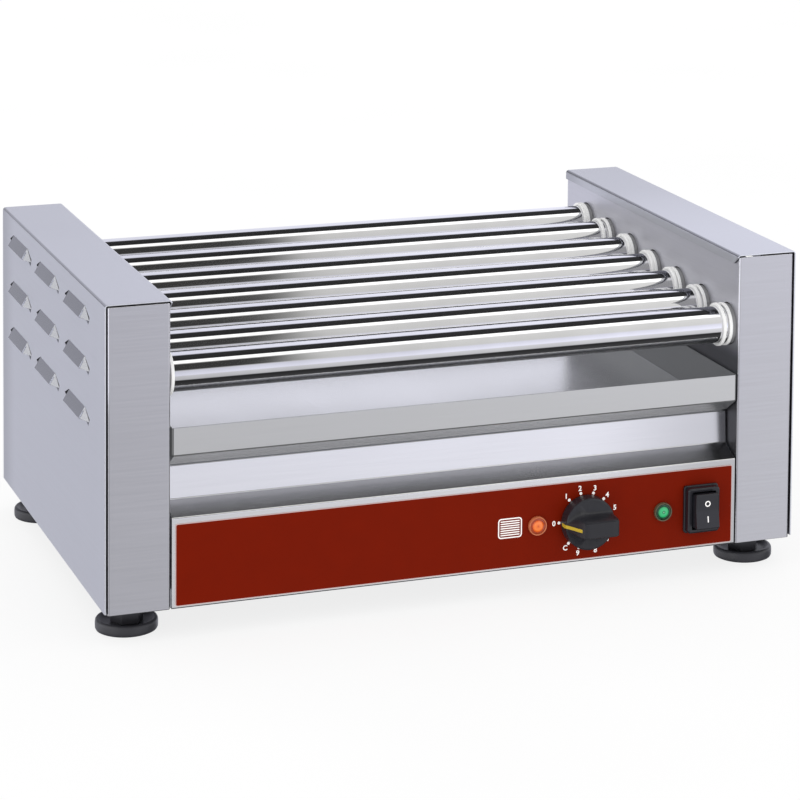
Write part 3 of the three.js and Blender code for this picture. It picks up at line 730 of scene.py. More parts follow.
def end_cover(word):
    """Outer side with its louvres, top and short inner lip, as one thin surface thickened inwards."""
    side = SIDES[word]
    lip_x, lip_bottom, lip_cut = COVER_LOW.x, TOP - 7, 6
    path = [(OUTER, COVER_LOW.z), (OUTER, TOP), (lip_x, TOP), (lip_x, lip_bottom)]
    bend_rows = [right for right, _ in folded_rows(path, COVER_SHEET, 1.2)][1:]
    shaped, faces, previous = louvred_side(bend_rows[0][1])
    verts = [(side * (OUTER + reach), y, z) for y, z, reach in shaped]
    for number, (x, z) in enumerate(bend_rows[1:]):
        is_last = number == len(bend_rows) - 2
        front = len(verts)
        verts += [(side * x, FRONT + (lip_cut if is_last else 0), z), (side * x, REAR, z)]
        faces.append((previous[0], previous[1], front + 1, front))
        previous = (front, front + 1)
    cover = from_faces(word + "_cover_shell", verts, faces)
    with edit_mesh(cover) as bm:
        widest = max(bm.faces, key=lambda face: face.calc_area())
        outward = Vector((side, 0, 0)) if abs(widest.normal.x) > 0.5 else Vector((0, 0, 1))
        if widest.normal.dot(outward) < 0:
            bmesh.ops.reverse_faces(bm, faces=bm.faces)
        bmesh.ops.dissolve_limit(bm, angle_limit=math.radians(1), verts=bm.verts, edges=bm.edges)
    thicken(cover, COVER_SHEET)
    bevel(cover, 0.28, 2, 25)
    return finish_piece(cover, "frame", COVER_STEEL[word], [word + "_end_cover"], angle=24)


# The rounding of each frame's edges, and the radii of its holes.
FRAME_EDGE = {"left": 0.58, "right": 0.25}
BUSH_HOLE = 14.7
MOTOR_HOLE = 6
STUD_HOLE = 4.7


def end_frame(word):
    """Front face, inner side and rear face as one folded sheet, bored for the bushes, with its floor."""
    side = SIDES[word]
    outer_x = side * (FRAME_HIGH.x + 0.3)
    path = [
        (outer_x, FRONT + 12),
        (outer_x, FRONT),
        (side * INNER, FRONT),
        (side * INNER, REAR),
        (outer_x, REAR),
        (outer_x, REAR - 12),
    ]
    if side > 0:
        path.reverse()
    bends = [0.5, 0.2, 0.2, 0.5]
    shell = folded_sheet(word + "_frame_shell", path, SHEET, bends, "z", BASE, FRAME_HIGH.z + 0.3)
    holes = [(joint_mm(f"roller_{number}_spin"), BUSH_HOLE) for number in range(1, ROLLERS + 1)]
    if side < 0:
        holes.append((joint_mm("motor_sprocket_spin"), MOTOR_HOLE))
    cutters = []
    for point, radius in holes:
        outline = circle_outline(point.y, point.z, radius)
        cutters.append(prism("bore", outline, "x", side * (INNER - 3), side * (INNER + 6)))
    boolean(shell, cutters)
    foot_x = (FOOT_LOW.x + FOOT_HIGH.x) / 2
    inset = SHEET + 0.2
    near, far = side * (INNER + inset), side * (FRAME_HIGH.x - inset)
    outline = rectangle(near, far, FRONT + inset, REAR - inset)
    floor = prism(word + "_frame_floor", outline, "z", BASE, BASE + SHEET)
    studs = []
    for place in ("front", "rear"):
        low, high = box_mm(f"{place}_{word}_foot")
        outline = circle_outline(side * foot_x, (low.y + high.y) / 2, STUD_HOLE)
        studs.append(prism("stud", outline, "z", BASE - 2, BASE + 4))
    boolean(floor, studs)
    whole = join_objects(word + "_frame_sheet", [shell, floor])
    bevel(whole, FRAME_EDGE[word], 3, 60)
    return finish_piece(whole, "frame", FRAME_STEEL, [word + "_end_frame"])


# ---- control box ----
CONTROL_Z = joint_mm("knob_turn").z
KNOB_X = joint_mm("knob_turn").x
SWITCH = joint_mm("rocker_tilt")
LAMPS = {node: sum(corner.x for corner in box_mm(node)) / 2 for node in ("amber_lamp", "green_lamp")}
RIMS = {
    "amber_lamp": plastic("amber_rim", (0.60, 0.17, 0.07), 0.22, 500, 0.02, 0.7, 0.05),
    "green_lamp": plastic("green_rim", (0.10, 0.09, 0.05), 0.25, 500, 0.02, 0.7, 0.05),
}
LENS_RINGS = {
    "amber_lamp": [
        (0, (0.55, 0.08, 0.01)),
        (1.0, (0.85, 0.17, 0.02)),
        (2.6, (0.92, 0.22, 0.03)),
        (3.8, (0.72, 0.11, 0.012)),
        (4.5, (0.26, 0.03, 0.01)),
        (5.2, (0.50, 0.08, 0.02)),
    ],
    "green_lamp": [
        (0, (0.30, 0.85, 0.50)),
        (0.7, (0.0, 0.12, 0.04)),
        (1.5, (0.03, 0.50, 0.19)),
        (3.4, (0.02, 0.38, 0.13)),
        (4.1, (0.0, 0.03, 0.01)),
        (4.9, (0.0, 0.05, 0.02)),
    ],
}
LENS_GLOW = 0.12
STRIP_LEAN = 1.3


def control_cutters(clearance):
    """Holes for the two lamps, the knob's shaft and the switch."""
    y0, y1 = FRONT - 3, FRONT + 5
    holes = [(x, 5.3) for x in LAMPS.values()] + [(KNOB_X, 4.2)]
    cutters = [prism("cutter", circle_outline(x, CONTROL_Z, r + clearance), "y", y0, y1) for x, r in holes]
    half = (11.2 + clearance, 14.2 + clearance)
    return cutters + [slab("cutter", (SWITCH.x, CONTROL_Z), half, 1, y0, y1)]


def control_panel():
    """Upright face, slope, slightly leaning strip and the ledge under the tray, as one folded sheet."""
    strip_y, flange = FRONT + 16, 14
    path = [
        (FRONT + flange, BASE),
        (FRONT, BASE),
        (FRONT, BASE + 60.3),
        (strip_y, BASE + 68.2),
        (strip_y + STRIP_LEAN, PANEL_HIGH.z - 0.9),
        (strip_y + flange, PANEL_HIGH.z - 0.9),
    ]
    path.reverse()
    bends = [0.1, 1.3, 0.3, 0.1]
    sheet = folded_sheet("control_panel_sheet", path, 1.0, bends, "x", PANEL_LOW.x, PANEL_HIGH.x)
    boolean(sheet, control_cutters(0.2))
    bevel(sheet, 0.15, 2, 60)
    return finish_piece(sheet, "frame", PANEL_STEEL, ["control_panel"])


def panel_overlay():
    """The red film and the pale edge that shows all round it."""
    low, high = OVERLAY_LOW, OVERLAY_HIGH
    outline = rounded_outline(low.x, high.x, low.z + 0.3, high.z, 1.4)
    inner = rounded_outline(low.x + 0.45, high.x - 0.45, low.z + 0.75, high.z - 0.45, 1.0)
    edge = prism("overlay_edge", outline, "y", low.y, high.y)
    boolean(edge, [prism("hole", inner, "y", low.y - 1, high.y + 1)])
    finish_piece(edge, "frame", EDGE)
    film = prism("control_overlay", inner, "y", low.y, high.y)
    boolean(film, control_cutters(0.5))
    return finish_piece(film, "frame", RED, ["panel_overlay"])


def text_mesh(text, size, x, z, y):
    """One character as thin raised print, upright on the control face and centred on (x, z)."""
    curve = bpy.data.curves.new("print_" + text, "FONT")
    curve.body = text
    curve.size = size * MM
    curve.align_x = "CENTER"
    curve.align_y = "CENTER"
    curve.extrude = 0.03 * MM
    curve.offset = 0.12 * MM
    curve.resolution_u = 4
    obj = new_object("print_" + text, curve)
    graph = bpy.context.evaluated_depsgraph_get()
    mesh = bpy.data.meshes.new_from_object(obj.evaluated_get(graph))
    bpy.data.objects.remove(obj)
    result = new_object("print_mesh", mesh)
    mesh.transform(Matrix.Rotation(math.radians(90), 4, "X"))
    spans = [[v.co[i] for v in mesh.vertices] for i in range(3)]
    centre = Vector([(min(span) + max(span)) / 2 for span in spans])
    mesh.transform(Matrix.Translation(Vector((x, y, z)) * MM - centre))
    return result


DIAL = dict(zip("0123456789C", (180, 128, 100, 72, 45, 17, -11, -40, -70, -103, -129)))
# How far the dots and the figures stand from the knob's axis.
DOT_REACH = 19.2
FIGURE_REACH = 22.9


def panel_markings():
    """Dial dots and figures, and the heating symbol: a rounded frame with level bars."""
    y0, y1 = OVERLAY_LOW.y - 0.06, OVERLAY_LOW.y - 0.01
    prints = []
    for figure, degrees in DIAL.items():
        c, s = math.cos(math.radians(degrees)), math.sin(math.radians(degrees))
        dot = circle_outline(KNOB_X + DOT_REACH * c, CONTROL_Z + DOT_REACH * s, 1.05, 24)
        prints.append(prism("dot", dot, "y", y0, y1))
        x, z = KNOB_X + FIGURE_REACH * c, CONTROL_Z + FIGURE_REACH * s
        prints.append(text_mesh(figure, 4.9, x, z, (y0 + y1) / 2))
    x, z, half_x, half_z = KNOB_X - 54.8, CONTROL_Z + 0.3, 8.6, 6.9
    ring = slab("symbol", (x, z), (half_x, half_z), 2.2, y0, y1)
    boolean(ring, [slab("inside", (x, z), (half_x - 0.8, half_z - 0.8), 1.5, y0 - 1, y1 + 1)])
    prints.append(ring)
    for row in range(-3, 4):
        level = z + row * (half_z - 2.2) / 3
        prints.append(slab("bar", (x, level), (half_x - 1.7, 0.38), 0.3, y0, y1))
    return finish_piece(join_objects("panel_print", prints), "frame", PRINT)


# ---- controls ----
def thermostat_knob():
    """Round skirt with a grip bar across it; the bar's pointer end slopes down to the rim."""
    back = KNOB_HIGH.y
    radius, skirt = 18.2, 10.0
    reach = back - KNOB_LOW.y
    profile = rounded_profile([(0.01, 0), (radius, 0), (radius - 0.2, skirt), (0.01, skirt)], 1.4)
    profile = [(0, 0)] + [p for p in profile if p[0] > 0.05] + [(0, skirt)]
    disc = lathe("knob_disc", profile, 96)
    stations = [
        # (along, bar height, half width, flare)
        (-17.2, skirt - 0.6, 2.6, 0.6),
        (-16.2, skirt + 1.6, 3.2, 3.6),
        (-15.0, skirt + 4.0, 3.8, 6.4),
        (-14.0, skirt + 6.1, 4.3, 7.3),
        (-13.0, skirt + 8.2, 4.7, 7.9),
        (-12.0, skirt + 10.3, 5.1, 8.4),
        (-11.0, skirt + 12.4, 5.4, 9.0),
        (-10.0, skirt + 14.0, 5.6, 9.5),
        (-9.0, reach - 0.7, 5.7, 9.9),
        (-8.0, reach - 0.2, 5.8, 9.9),
        (-6.6, reach, 5.85, 8.9),
        (-5.2, reach, 5.9, 6.9),
        (-3.6, reach, 5.9, 5.1),
        (-1.5, reach, 5.95, 4.0),
        (3, reach, 6.0, 3.4),
        (10, reach, 6.1, 3.0),
        (13.8, reach - 0.1, 6.1, 2.4),
        (15.2, reach - 0.9, 5.9, 1.6),
        (15.9, reach - 3.5, 5.7, 0.9),
        (16.6, skirt, 5.6, 0.2),
    ]
    floor, sections = 1.5, []
    for along, height, half, flare in stations:
        rise = height - skirt
        half_section = [
            (half + flare, floor),
            (half + flare, skirt - 0.3),
            (half + flare * 0.5, skirt + rise * 0.04),
            (half + flare * 0.2, skirt + rise * 0.16),
            (half + flare * 0.05, skirt + rise * 0.4),
            (half - 0.15, height - min(1.2, rise * 0.3)),
            (half - 1.1, height),
        ]
        section = [(along, side, up) for side, up in half_section]
        sections.append(section + [(along, -side, up) for _, side, up in reversed(section)])
    bar = loft("knob_bar", sections)
    boolean(bar, [prism("trim", circle_outline(0, 0, radius - 0.5, 96), "z", -1, 40)], "INTERSECT")
    boolean(disc, [bar], "UNION")
    boolean(disc, [prism("bore", circle_outline(0, 0, 3.4), "z", -1, 17)])
    bevel(disc, 0.35, 3, 38)
    move(disc, (KNOB_X, back, CONTROL_Z), (90, 0, 0))
    disc.name = "knob_grip"
    return finish_piece(disc, "knob", KNOB_BLACK, ["thermostat_knob"], angle=40)


def knob_pointer():
    """Thin line that runs up the skirt and the pointer end of the grip bar."""
    back = KNOB_HIGH.y
    spine = [(-18.25, 3.5), (-18.2, 8.4), (-17.4, 9.9), (-16.4, 11.4), (-15.0, 14.2)]
    spine += [(-13.0, 18.4), (-11.2, 22.2)]
    outline = rectangle(-1.1, 1.1, 0.5, -0.18)
    sections = [[(along + out, side, height) for side, out in outline] for along, height in spine]
    line = loft("knob_pointer_line", sections)
    move(line, (KNOB_X, back, CONTROL_Z), (90, 0, 0))
    return finish_piece(line, "knob", YELLOW)


def switch_housing():
    """Two-step bezel, the well the rocker sits in, and the body behind the panel."""
    centre, front = (SWITCH.x, CONTROL_Z), BEZEL_LOW.y
    back = OVERLAY_LOW.y - 0.1
    step_y = back - 2.4
    flange = slab("switch_frame", centre, (12.9, 16.6), 2.0, step_y, back)
    bevel(flange, 0.7, 3, 60)
    tier = slab("tier", centre, (12.0, 15.8), 2.4, front, step_y + 1)
    bevel(tier, 1.3, 4, 60)
    body = slab("body", centre, (11, 14), 1.0, back - 1, BEZEL_HIGH.y)
    boolean(flange, [tier, body], "UNION")
    boolean(flange, [slab("well", centre, (9.0, 13.2), 0.8, front - 2, FRONT + 8)])
    return finish_piece(flange, "frame", BLACK, ["switch_bezel"], angle=40)


ROCKER_TILT = 5.0
ROCKER_MIDDLE = 11.7
ROCKER_HALF = 12.1


def rocker_face_height(along):
    """Reach of the finger face from the pivot, before tilting: a shallow V with a soft middle."""
    distance = math.sqrt(along * along + 1.5) - math.sqrt(1.5)
    return ROCKER_MIDDLE + distance * math.tan(math.radians(ROCKER_TILT))


def switch_rocker():
    """V-shaped key, resting tilted."""
    half_width = 8.6
    stations = [ROCKER_HALF * (2 * i / 24 - 1) for i in range(25)]
    outline = [(-rocker_face_height(z), z) for z in stations]
    outline += [(0, 11.3), (4, 8), (6, 3), (6, -3), (4, -8), (0, -11.3)]
    rocker = prism("rocker_key", outline, "x", -half_width, half_width)
    bevel(rocker, 0.9, 4, 50)
    move(rocker, SWITCH, (-ROCKER_TILT, 0, 0))
    return finish_piece(rocker, "rocker", BLACK, ["switch_rocker"], angle=40)


def rocker_marks():
    """The ring and the bar of an off and on switch, on the upper and lower finger faces."""
    thickness = 0.12
    ring = prism("ring", circle_outline(0, 0, 2.05, 40), "z", 0, thickness)
    boolean(ring, [prism("hole", circle_outline(0, 0, 1.3, 40), "z", -1, 1)])
    bar = prism("bar", rounded_outline(-0.38, 0.38, -2.1, 2.1, 0.2), "z", 0, thickness)
    for along, mark in ((5.3, ring), (-5.4, bar)):
        move(mark, (0, 0, 0), (90, 0, 0))
        move(mark, (0, 0, 0), (math.copysign(ROCKER_TILT, along), 0, 0))
        move(mark, (0, -rocker_face_height(along) - 0.02, along))
    marks = join_objects("rocker_print", [ring, bar])
    move(marks, SWITCH, (-ROCKER_TILT, 0, 0))
    return finish_piece(marks, "rocker", PRINT)


def pilot_lamp(node):
    """Bezel ring, domed lens with a bright centre, and the body behind the panel."""
    x, front = LAMPS[node], OVERLAY_LOW.y - 0.05
    centre = Vector((x, front, CONTROL_Z))
    dome = [(0, -22), (5, -22), (5, 0.4), (5.35, 0.4), (5.35, 1.5), (5.1, 2.0), (4.4, 2.15), (4.1, 1.8)]
    for step in range(1, 9):
        angle = math.radians(11.25 * step)
        dome.append((4.1 * math.cos(angle) if step < 8 else 0, 1.8 + 0.75 * math.sin(angle)))
    cap = lathe(node + "_lens", dome, 48)
    move(cap, centre, (90, 0, 0))
    glass = lens(node + "_lens", centre, LENS_RINGS[node], LENS_GLOW)
    finish_piece(cap, "frame", glass, [node], angle=40)
    rim = [(5.45, 0.02), (6.6, 0.02), (6.5, 1.7), (6.2, 2.5), (5.7, 2.5), (5.45, 2.0)]
    ring = closed_lathe(node + "_bezel", rounded_profile(rim, 0.2), 48)
    move(ring, centre, (90, 0, 0))
    finish_piece(ring, "frame", RIMS[node], angle=40)


# ---- rollers ----
TUBE_HALF = box_mm("roller_1_tube")[1].x
# Where the bush flanges end on the inner side of each frame, and the gap from flange to seal ring.
BUSH_LIP = {"left": -3.6, "right": -5.0}
BUSH_BORE = 13.15
SEAL_SLACK = {1: 2.3, 2: 1.3, 3: 0.6, 6: 2.6}


def ring_profile(inner, outer, start, end, radius):
    return rounded_profile([(inner, start), (outer, start), (outer, end), (inner, end)], radius)


def roller(number):
    """Chrome tube, its two bushes with their necks, and the loose seal ring at its right end."""
    axis = joint_mm(f"roller_{number}_spin")
    profile = ring_profile(ROLLER_RADIUS - 1.2, ROLLER_RADIUS, -TUBE_HALF, TUBE_HALF, 0.4)
    tube = closed_lathe(f"roller_{number}_shell", profile, 96)
    move(tube, axis, (0, 90, 0))
    finish_piece(tube, f"roller_{number}", CHROME, [f"roller_{number}_tube"])
    for word, side in SIDES.items():
        place, turn = (side * INNER, axis.y, axis.z), (0, 90 * side, 0)
        lip = BUSH_LIP[word]
        flange = ring_profile(BUSH_BORE, 14.9, lip, lip + 2.3, 0.5)
        ring = closed_lathe(f"bush_{number}_{word}_flange", flange, 64)
        move(ring, place, turn)
        finish_piece(ring, "frame", WHITE, [f"bush_{number}_{word}"])
        # Painted shade: the neck is coloured dark for the shade between flange and frame.
        sleeve = ring_profile(BUSH_BORE, 13.9, lip + 2.4, 3.3, 0.15)
        neck = closed_lathe(f"bush_{number}_{word}_neck", sleeve, 64)
        move(neck, place, turn)
        finish_piece(neck, "frame", BUSH_NECK_SHADE)
        if word == "right":
            seal_ring(number, axis, lip)


def seal_ring(number, axis, lip):
    """A loose ring on the tube, leaning a little, some way off the bush."""
    slack = SEAL_SLACK.get(number, 0.1)
    seal = closed_lathe(f"seal_{number}_right", ring_profile(12.8, 15.0, -1.15, 1.15, 0.6), 64)
    lean = random.Random(100 * number + 1).uniform(-1.2, 1.2)
    move(seal, (INNER + lip - 1.25 - slack, axis.y, axis.z), (0, 90, lean))
    finish_piece(seal, f"roller_{number}", WHITE)


# ---- drip tray ----
def drip_tray():
    """One open surface, front lip to rear wall with both sides, rounded at its corners, then thickened."""
    low, high = TRAY_LOW, TRAY_HIGH
    path = [(low.y, high.z), (low.y, BASE + 101.2), (low.y + 15.4, low.z)]
    path += [(high.y, low.z), (high.y, high.z)]
    rows = [right for right, _ in folded_rows(path, COVER_SHEET, 1.2)]
    verts, faces = [], []
    for y, z in rows:
        verts += [(low.x, y, z), (high.x, y, z)]
    for i in range(len(rows) - 1):
        faces.append((2 * i, 2 * i + 1, 2 * i + 3, 2 * i + 2))
    faces.append(tuple(range(0, 2 * len(rows), 2)))
    faces.append(tuple(range(1, 2 * len(rows), 2)))
    tray = from_faces("tray_pan", verts, faces)
    with edit_mesh(tray) as bm:
        floor = max(bm.faces, key=lambda face: abs(face.normal.z) * face.calc_area())
        if floor.normal.z > 0:
            bmesh.ops.reverse_faces(bm, faces=bm.faces)
        corners = [edge for edge in bm.edges if len(edge.link_faces) == 2 and edge.calc_face_angle() > 1.2]
        bmesh.ops.bevel(bm, geom=corners, offset=1.6 * MM, segments=4, profile=0.5, affect="EDGES")
    thicken(tray, COVER_SHEET)
    bevel(tray, 0.2, 2, 60)
    return finish_piece(tray, "tray", TRAY_STEEL, ["drip_tray"], angle=40)


# ---- rear ----
INLET_X = (INLET_LOW.x + INLET_HIGH.x) / 2
INLET_Z = (INLET_LOW.z + INLET_HIGH.z) / 2


def rear_panel():
    """Folded sheet with an opening for the inlet, a row of slots and the ledge that carries the tray."""
    flange, top = 14, PANEL_HIGH.z
    path = [(REAR - flange, BASE), (REAR, BASE), (REAR, REAR_HIGH.z), (REAR - flange / 2, REAR_HIGH.z)]
    sheet = folded_sheet("rear_panel_sheet", path, SHEET, 0.8, "x", REAR_LOW.x, REAR_HIGH.x)
    cutters = [slab("slot", (INLET_X, INLET_Z), (13.8, 10), 2, REAR - 5, REAR + 5)]
    for row in range(9):
        cutters.append(slab("slot", (-120 + row * 14, INLET_Z), (2, 16), 1.95, REAR - 5, REAR + 5))
    boolean(sheet, cutters)
    outline = rectangle(REAR - 18, REAR - SHEET, top - SHEET, top)
    ledge = prism("ledge", outline, "x", REAR_LOW.x + 1, REAR_HIGH.x - 1)
    whole = join_objects("rear_panel_sheet", [sheet, ledge])
    bevel(whole, 0.15, 2, 60)
    return finish_piece(whole, "frame", FRAME_STEEL, ["rear_panel"])


SCREW_PROFILE = [(0, -1.2), (2.0, -1.2), (2.0, 0.0), (3.6, 0.0), (3.6, 0.7)]
SCREW_PROFILE += [(3.2, 1.4), (2.3, 1.9), (1.2, 2.1), (0, 2.15)]


def screw(name, location):
    """Pan head screw with a cross recess, facing the rear."""
    head = lathe(name, SCREW_PROFILE, 32)
    arms = ((2.0, 0.4), (0.4, 2.0))
    boolean(head, [prism("slot", rounded_outline(-a, a, -b, b, 0.1), "z", 1.2, 3) for a, b in arms])
    move(head, location, (-90, 0, 0))
    return finish_piece(head, "frame", SCREW_STEEL, angle=40)


def rear_screws():
    for row, x in enumerate((-188, 0, 188)):
        for column, z in enumerate((BASE + 10, REAR_HIGH.z - 8)):
            screw(f"rear_screw_{row}_{column}", (x, REAR + 0.05, z))
    for word, side in SIDES.items():
        for row, z in enumerate((BASE + 24, TOP - 24)):
            screw(f"{word}_housing_screw_{row}", (side * 224, REAR + 0.05, z))


def power_inlet():
    """Rounded flange with a shrouded recess and three blades."""
    centre, back = (INLET_X, INLET_Z), REAR + 0.1
    flange = slab("inlet_socket", centre, (25, 13), 6, back, INLET_HIGH.y)
    bevel(flange, 0.6, 3, 60)
    boolean(flange, [slab("body", centre, (13.4, 9.6), 2, INLET_LOW.y, back + 1)], "UNION")
    boolean(flange, [slab("recess", centre, (12, 8.2), 3, REAR - 15, REAR + 5)])
    finish_piece(flange, "frame", BLACK, ["power_inlet"], angle=40)
    blades = []
    for along, lift in ((-7, -2), (0, 2), (7, -2)):
        blade = slab("blade", (INLET_X + along, INLET_Z + lift), (1, 2), 0.5, REAR - 15.5, REAR - 2)
        blades.append(bevel(blade, 0.25, 2, 60))
    finish_piece(join_objects("inlet_blades", blades), "frame", SCREW_STEEL)
    for way, word in ((-1, "a"), (1, "b")):
        screw("inlet_screw_" + word, (INLET_X + way * 20, INLET_HIGH.y - 1.6, INLET_Z))


# ---- feet ----
def levelling_foot(place, word):
    """Moulded foot: rounded base with a dished top, a six-sided neck and a threaded stud."""
    node = f"{place}_{word}_foot"
    low, high = box_mm(node)
    centre = ((low.x + high.x) / 2, (low.y + high.y) / 2, 0)
    neck_top = BASE - 0.3
    rim = (high.x - low.x) / 2
    rounding = [(4.5, 0.6), (3.8, 0), (1.6, 0), (0.6, 0.5), (0.1, 1.5), (0, 3.0), (0, 5.2)]
    rounding += [(0.2, 6.6), (0.8, 7.5), (1.8, 7.8), (3.0, 7.4), (4.4, 6.2), (6.0, 5.4), (8.0, 5.2)]
    profile = [(0, 0.6)] + [(rim - inset, z) for inset, z in rounding] + [(0, 5.2)]
    base = lathe(node + "_base", profile, 72)
    neck = prism("neck", circle_outline(0, 0, 11.2, 6), "z", 5, neck_top)
    bevel(neck, 0.8, 3, 40)
    boolean(base, [neck], "UNION")
    move(base, centre)
    finish_piece(base, node, FOOT_BLACK, [node], angle=40)
    stud_profile, pitch, z = [(0, neck_top - 0.5)], 1.25, neck_top - 0.5
    while z < high.z - pitch:
        stud_profile += [(3.5, z), (4.0, z + pitch / 2)]
        z += pitch
    stud_profile += [(3.4, z), (0, z)]
    stud = lathe(node + "_stud", stud_profile, 24)
    move(stud, centre)
    finish_piece(stud, node, SCREW_STEEL, angle=20)


# ---- finishes of the CAD nodes that stay ----
def finish_cad_nodes():
    finishes = {
        "base_pan": GALVANIZED,
        "gear_motor": MOTOR,
        "drive_chain": OILED,
        "motor_sprocket": OILED,
        "thermostat_body": CONTROL_DARK,
    }
    for word in SIDES:
        finishes[word + "_heater_bracket"] = GALVANIZED
    for number in range(1, ROLLERS + 1):
        finishes[f"roller_{number}_sprocket"] = OILED
        finishes[f"heater_rod_{number}"] = SHEATH
    for node, material in finishes.items():
        mesh = frame["nodes"][node].data
        mesh.materials.clear()
        mesh.materials.append(material)


# ---- studio ----
# Bands of the studio by angle round the X axis: 0 is level to the front, 90 overhead, 180 level behind.
LILAC, PLAIN, WARM = (0.96, 0.965, 1.08), (1, 1, 1.02), (1.0, 0.995, 0.96)
STUDIO_BANDS = [
    (-180, 0.85, LILAC),
    (-158, 0.79, LILAC),
    (-138, 0.10, PLAIN),
    (-40, 0.02, PLAIN),
    (-35, 0.50, PLAIN),
    (-14, 0.60, PLAIN),
    (-9, 0.82, LILAC),
    (14, 0.68, LILAC),
    (22, 0.58, WARM),
    (58, 0.62, WARM),
    (66, 1.35, WARM),
    (79, 1.35, WARM),
    (83, 0.02, PLAIN),
    (121, 0.03, PLAIN),
    (129, 0.84, LILAC),
    (180, 0.84, LILAC),
]
# Darker windows in the bands, over a span of turn in degrees and a span sideways, with soft edges.
STUDIO_PATCHES = [
    {"turn": (110, 190), "sideways": (0.36, 2), "gain": 0.88, "soft": (8, 0.06)},
    {"turn": (122, 176), "sideways": (-0.65, -0.3), "gain": 0.22, "soft": (6, 0.1)},
    {"turn": (20, 59), "sideways": (0.02, 0.281), "gain": 0.07, "soft": (4, 0.01)},
]
PLAIN_LIGHT = (1.02, 1.02, 1.02, 1)
FLOOR_HALF = 20000


def window(sky, value, span, soft):
    """1 within the span and 0 outside it, with edges eased over twice the softness."""
    low, high = span
    rise = sky.smooth_step(value, low - soft, low + soft)
    return sky.math("MULTIPLY", rise, sky.smooth_step(value, high + soft, high - soft))


def studio_world():
    """Soft studio light. Reflections see pale walls to the front and rear, a bright strip and a dark
    gap overhead and a dark ground; the left is darker than the right. Other rays see plain light."""
    world = bpy.data.worlds.new("studio")
    bpy.context.scene.world = world
    world.use_nodes = True
    sky = Shade(world.node_tree)
    around = sky.split(sky.add("TexCoord").outputs["Generated"])
    sideways = around["X"]
    radians = sky.math("ARCTAN2", around["Z"], sky.math("MULTIPLY", around["Y"], -1))
    turn = sky.math("MULTIPLY", radians, 180 / math.pi)
    stops = [((degrees + 180) / 360, [level * t for t in tone]) for degrees, level, tone in STUDIO_BANDS]
    bands = sky.ramp(sky.map_range(turn, -180, 180, 0, 1), stops)
    level = sky.math("ADD", sky.math("MULTIPLY", sideways, 1.75), 0.53)
    level = sky.math("MAXIMUM", sky.math("MINIMUM", level, 1.3), 0.92)
    for patch in STUDIO_PATCHES:
        inside = window(sky, turn, patch["turn"], patch["soft"][0])
        across = window(sky, sideways, patch["sideways"], patch["soft"][1])
        share = sky.math("MULTIPLY", inside, across)
        level = sky.math("MULTIPLY", level, sky.gain(share, patch["gain"]))
    side_lamp = sky.math("MULTIPLY", sky.smooth_step(sideways, -0.66, -0.8), 0.75)
    above = sky.smooth_step(around["Z"], -0.6, -0.4)
    choose = sky.add("Mix", data_type="RGBA")
    sky.feed(choose.inputs["Factor"], sky.add("LightPath").outputs["Is Glossy Ray"])
    sky.feed(choose.inputs["A"], PLAIN_LIGHT)
    lit = sky.vector("ADD", sky.scaled(bands, level), sky.math("MULTIPLY", side_lamp, above))
    sky.feed(choose.inputs["B"], lit)
    background = sky.nodes["Background"]
    sky.feed(background.inputs["Color"], choose.outputs["Result"])
    sky.feed(background.inputs["Strength"], 1.0)


def floor():
    """Pale ground that glows a little, so that it stays even, and goes unseen in reflections."""
    ground_paint = Surface("studio_floor")
    ground_paint.set(
        Base_Color=ground_paint.mottle(ground_paint.noise((3, 3, 3)), (0.185,) * 3, (0.2,) * 3),
        Emission_Color=(1, 1, 1, 1),
        Emission_Strength=0.81,
        Roughness=1.0,
        Specular_IOR_Level=0.0,
    )
    corners = rectangle(-FLOOR_HALF, FLOOR_HALF, -FLOOR_HALF, FLOOR_HALF)
    ground = from_faces("studio_floor", [(x, y, 0) for x, y in corners], [(0, 1, 2, 3)])
    ground.data.materials.append(ground_paint.material)
    ground.visible_glossy = False
    sink_with_feet(ground)


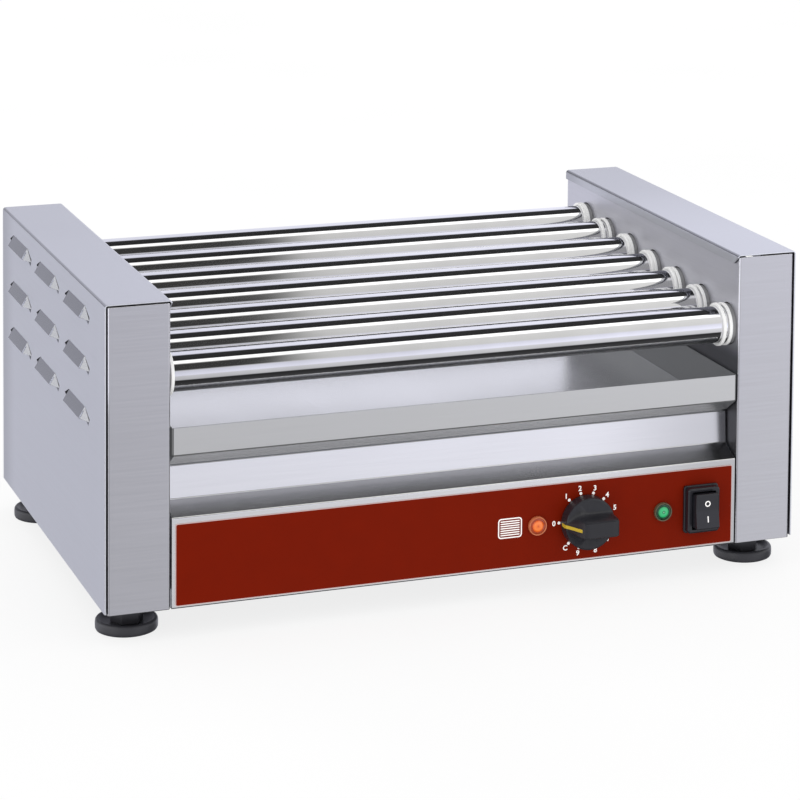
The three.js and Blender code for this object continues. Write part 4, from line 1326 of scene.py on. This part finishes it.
def add_driver(owner, channel, index, sources, expression):
    """Drives one number of owner; sources is a list of (variable name, object, transform)."""
    driver = owner.driver_add(channel, index).driver
    driver.type = "SCRIPTED"
    for name, source, transform in sources:
        variable = driver.variables.new()
        variable.name = name
        variable.type = "TRANSFORMS"
        variable.targets[0].id = source
        variable.targets[0].transform_type = transform
        variable.targets[0].transform_space = "WORLD_SPACE"
    driver.expression = expression


def sink_with_feet(ground):
    """The floor goes down with the lowest foot when the feet are screwed out."""
    sources = [(foot, frame["bodies"][foot], "LOC_Z") for foot in FEET]
    add_driver(ground, "location", 2, sources, f"min(0, {', '.join(FEET)})")


def camera():
    """Seen from the front left and a little above, with the lens shifted as on a technical camera."""
    data = bpy.data.cameras.new("camera")
    cam = bpy.data.objects.new("camera", data)
    bpy.context.scene.collection.objects.link(cam)
    heading, pitch, roll = math.radians(22.057), math.radians(4.643), math.radians(0.710)
    forward = Vector((math.sin(heading), math.cos(heading), 0))
    ahead = forward * math.cos(pitch) - Vector((0, 0, math.sin(pitch)))
    level = Vector((math.cos(heading), -math.sin(heading), 0))
    above = level.cross(ahead)
    right = math.cos(roll) * level + math.sin(roll) * above
    up = -math.sin(roll) * level + math.cos(roll) * above
    middle_y = (FRONT + REAR) / 2
    home = Vector((-694.465, middle_y - 2056.916, BASE + 674.096)) * MM
    turn = Matrix((right, up, -ahead)).transposed().to_4x4()
    cam.matrix_world = Matrix.Translation(home) @ turn
    data.sensor_width = 36
    data.lens = 138.202
    data.clip_start, data.clip_end = 0.05, 100
    # The lens shift belongs to this one standpoint: it is zero once the camera is moved.
    for channel, shift in (("shift_x", -0.217896), ("shift_y", -0.723596)):
        at_home = f"(abs(x - ({home.x:.6f})) < 0.0005)"
        add_driver(data, channel, -1, [("x", cam, "LOC_X")], f"{shift} * {at_home}")
    bpy.context.scene.camera = cam


# ---- build ----
for word in SIDES:
    end_cover(word)
    end_frame(word)
    for place in ("front", "rear"):
        levelling_foot(place, word)
control_panel()
panel_overlay()
panel_markings()
thermostat_knob()
knob_pointer()
switch_housing()
switch_rocker()
rocker_marks()
for lamp in LAMPS:
    pilot_lamp(lamp)
for number in range(1, ROLLERS + 1):
    roller(number)
drip_tray()
rear_panel()
rear_screws()
power_inlet()
finish_cad_nodes()
studio_world()
floor()
camera()
bpy.context.scene.view_settings.view_transform = "Standard"
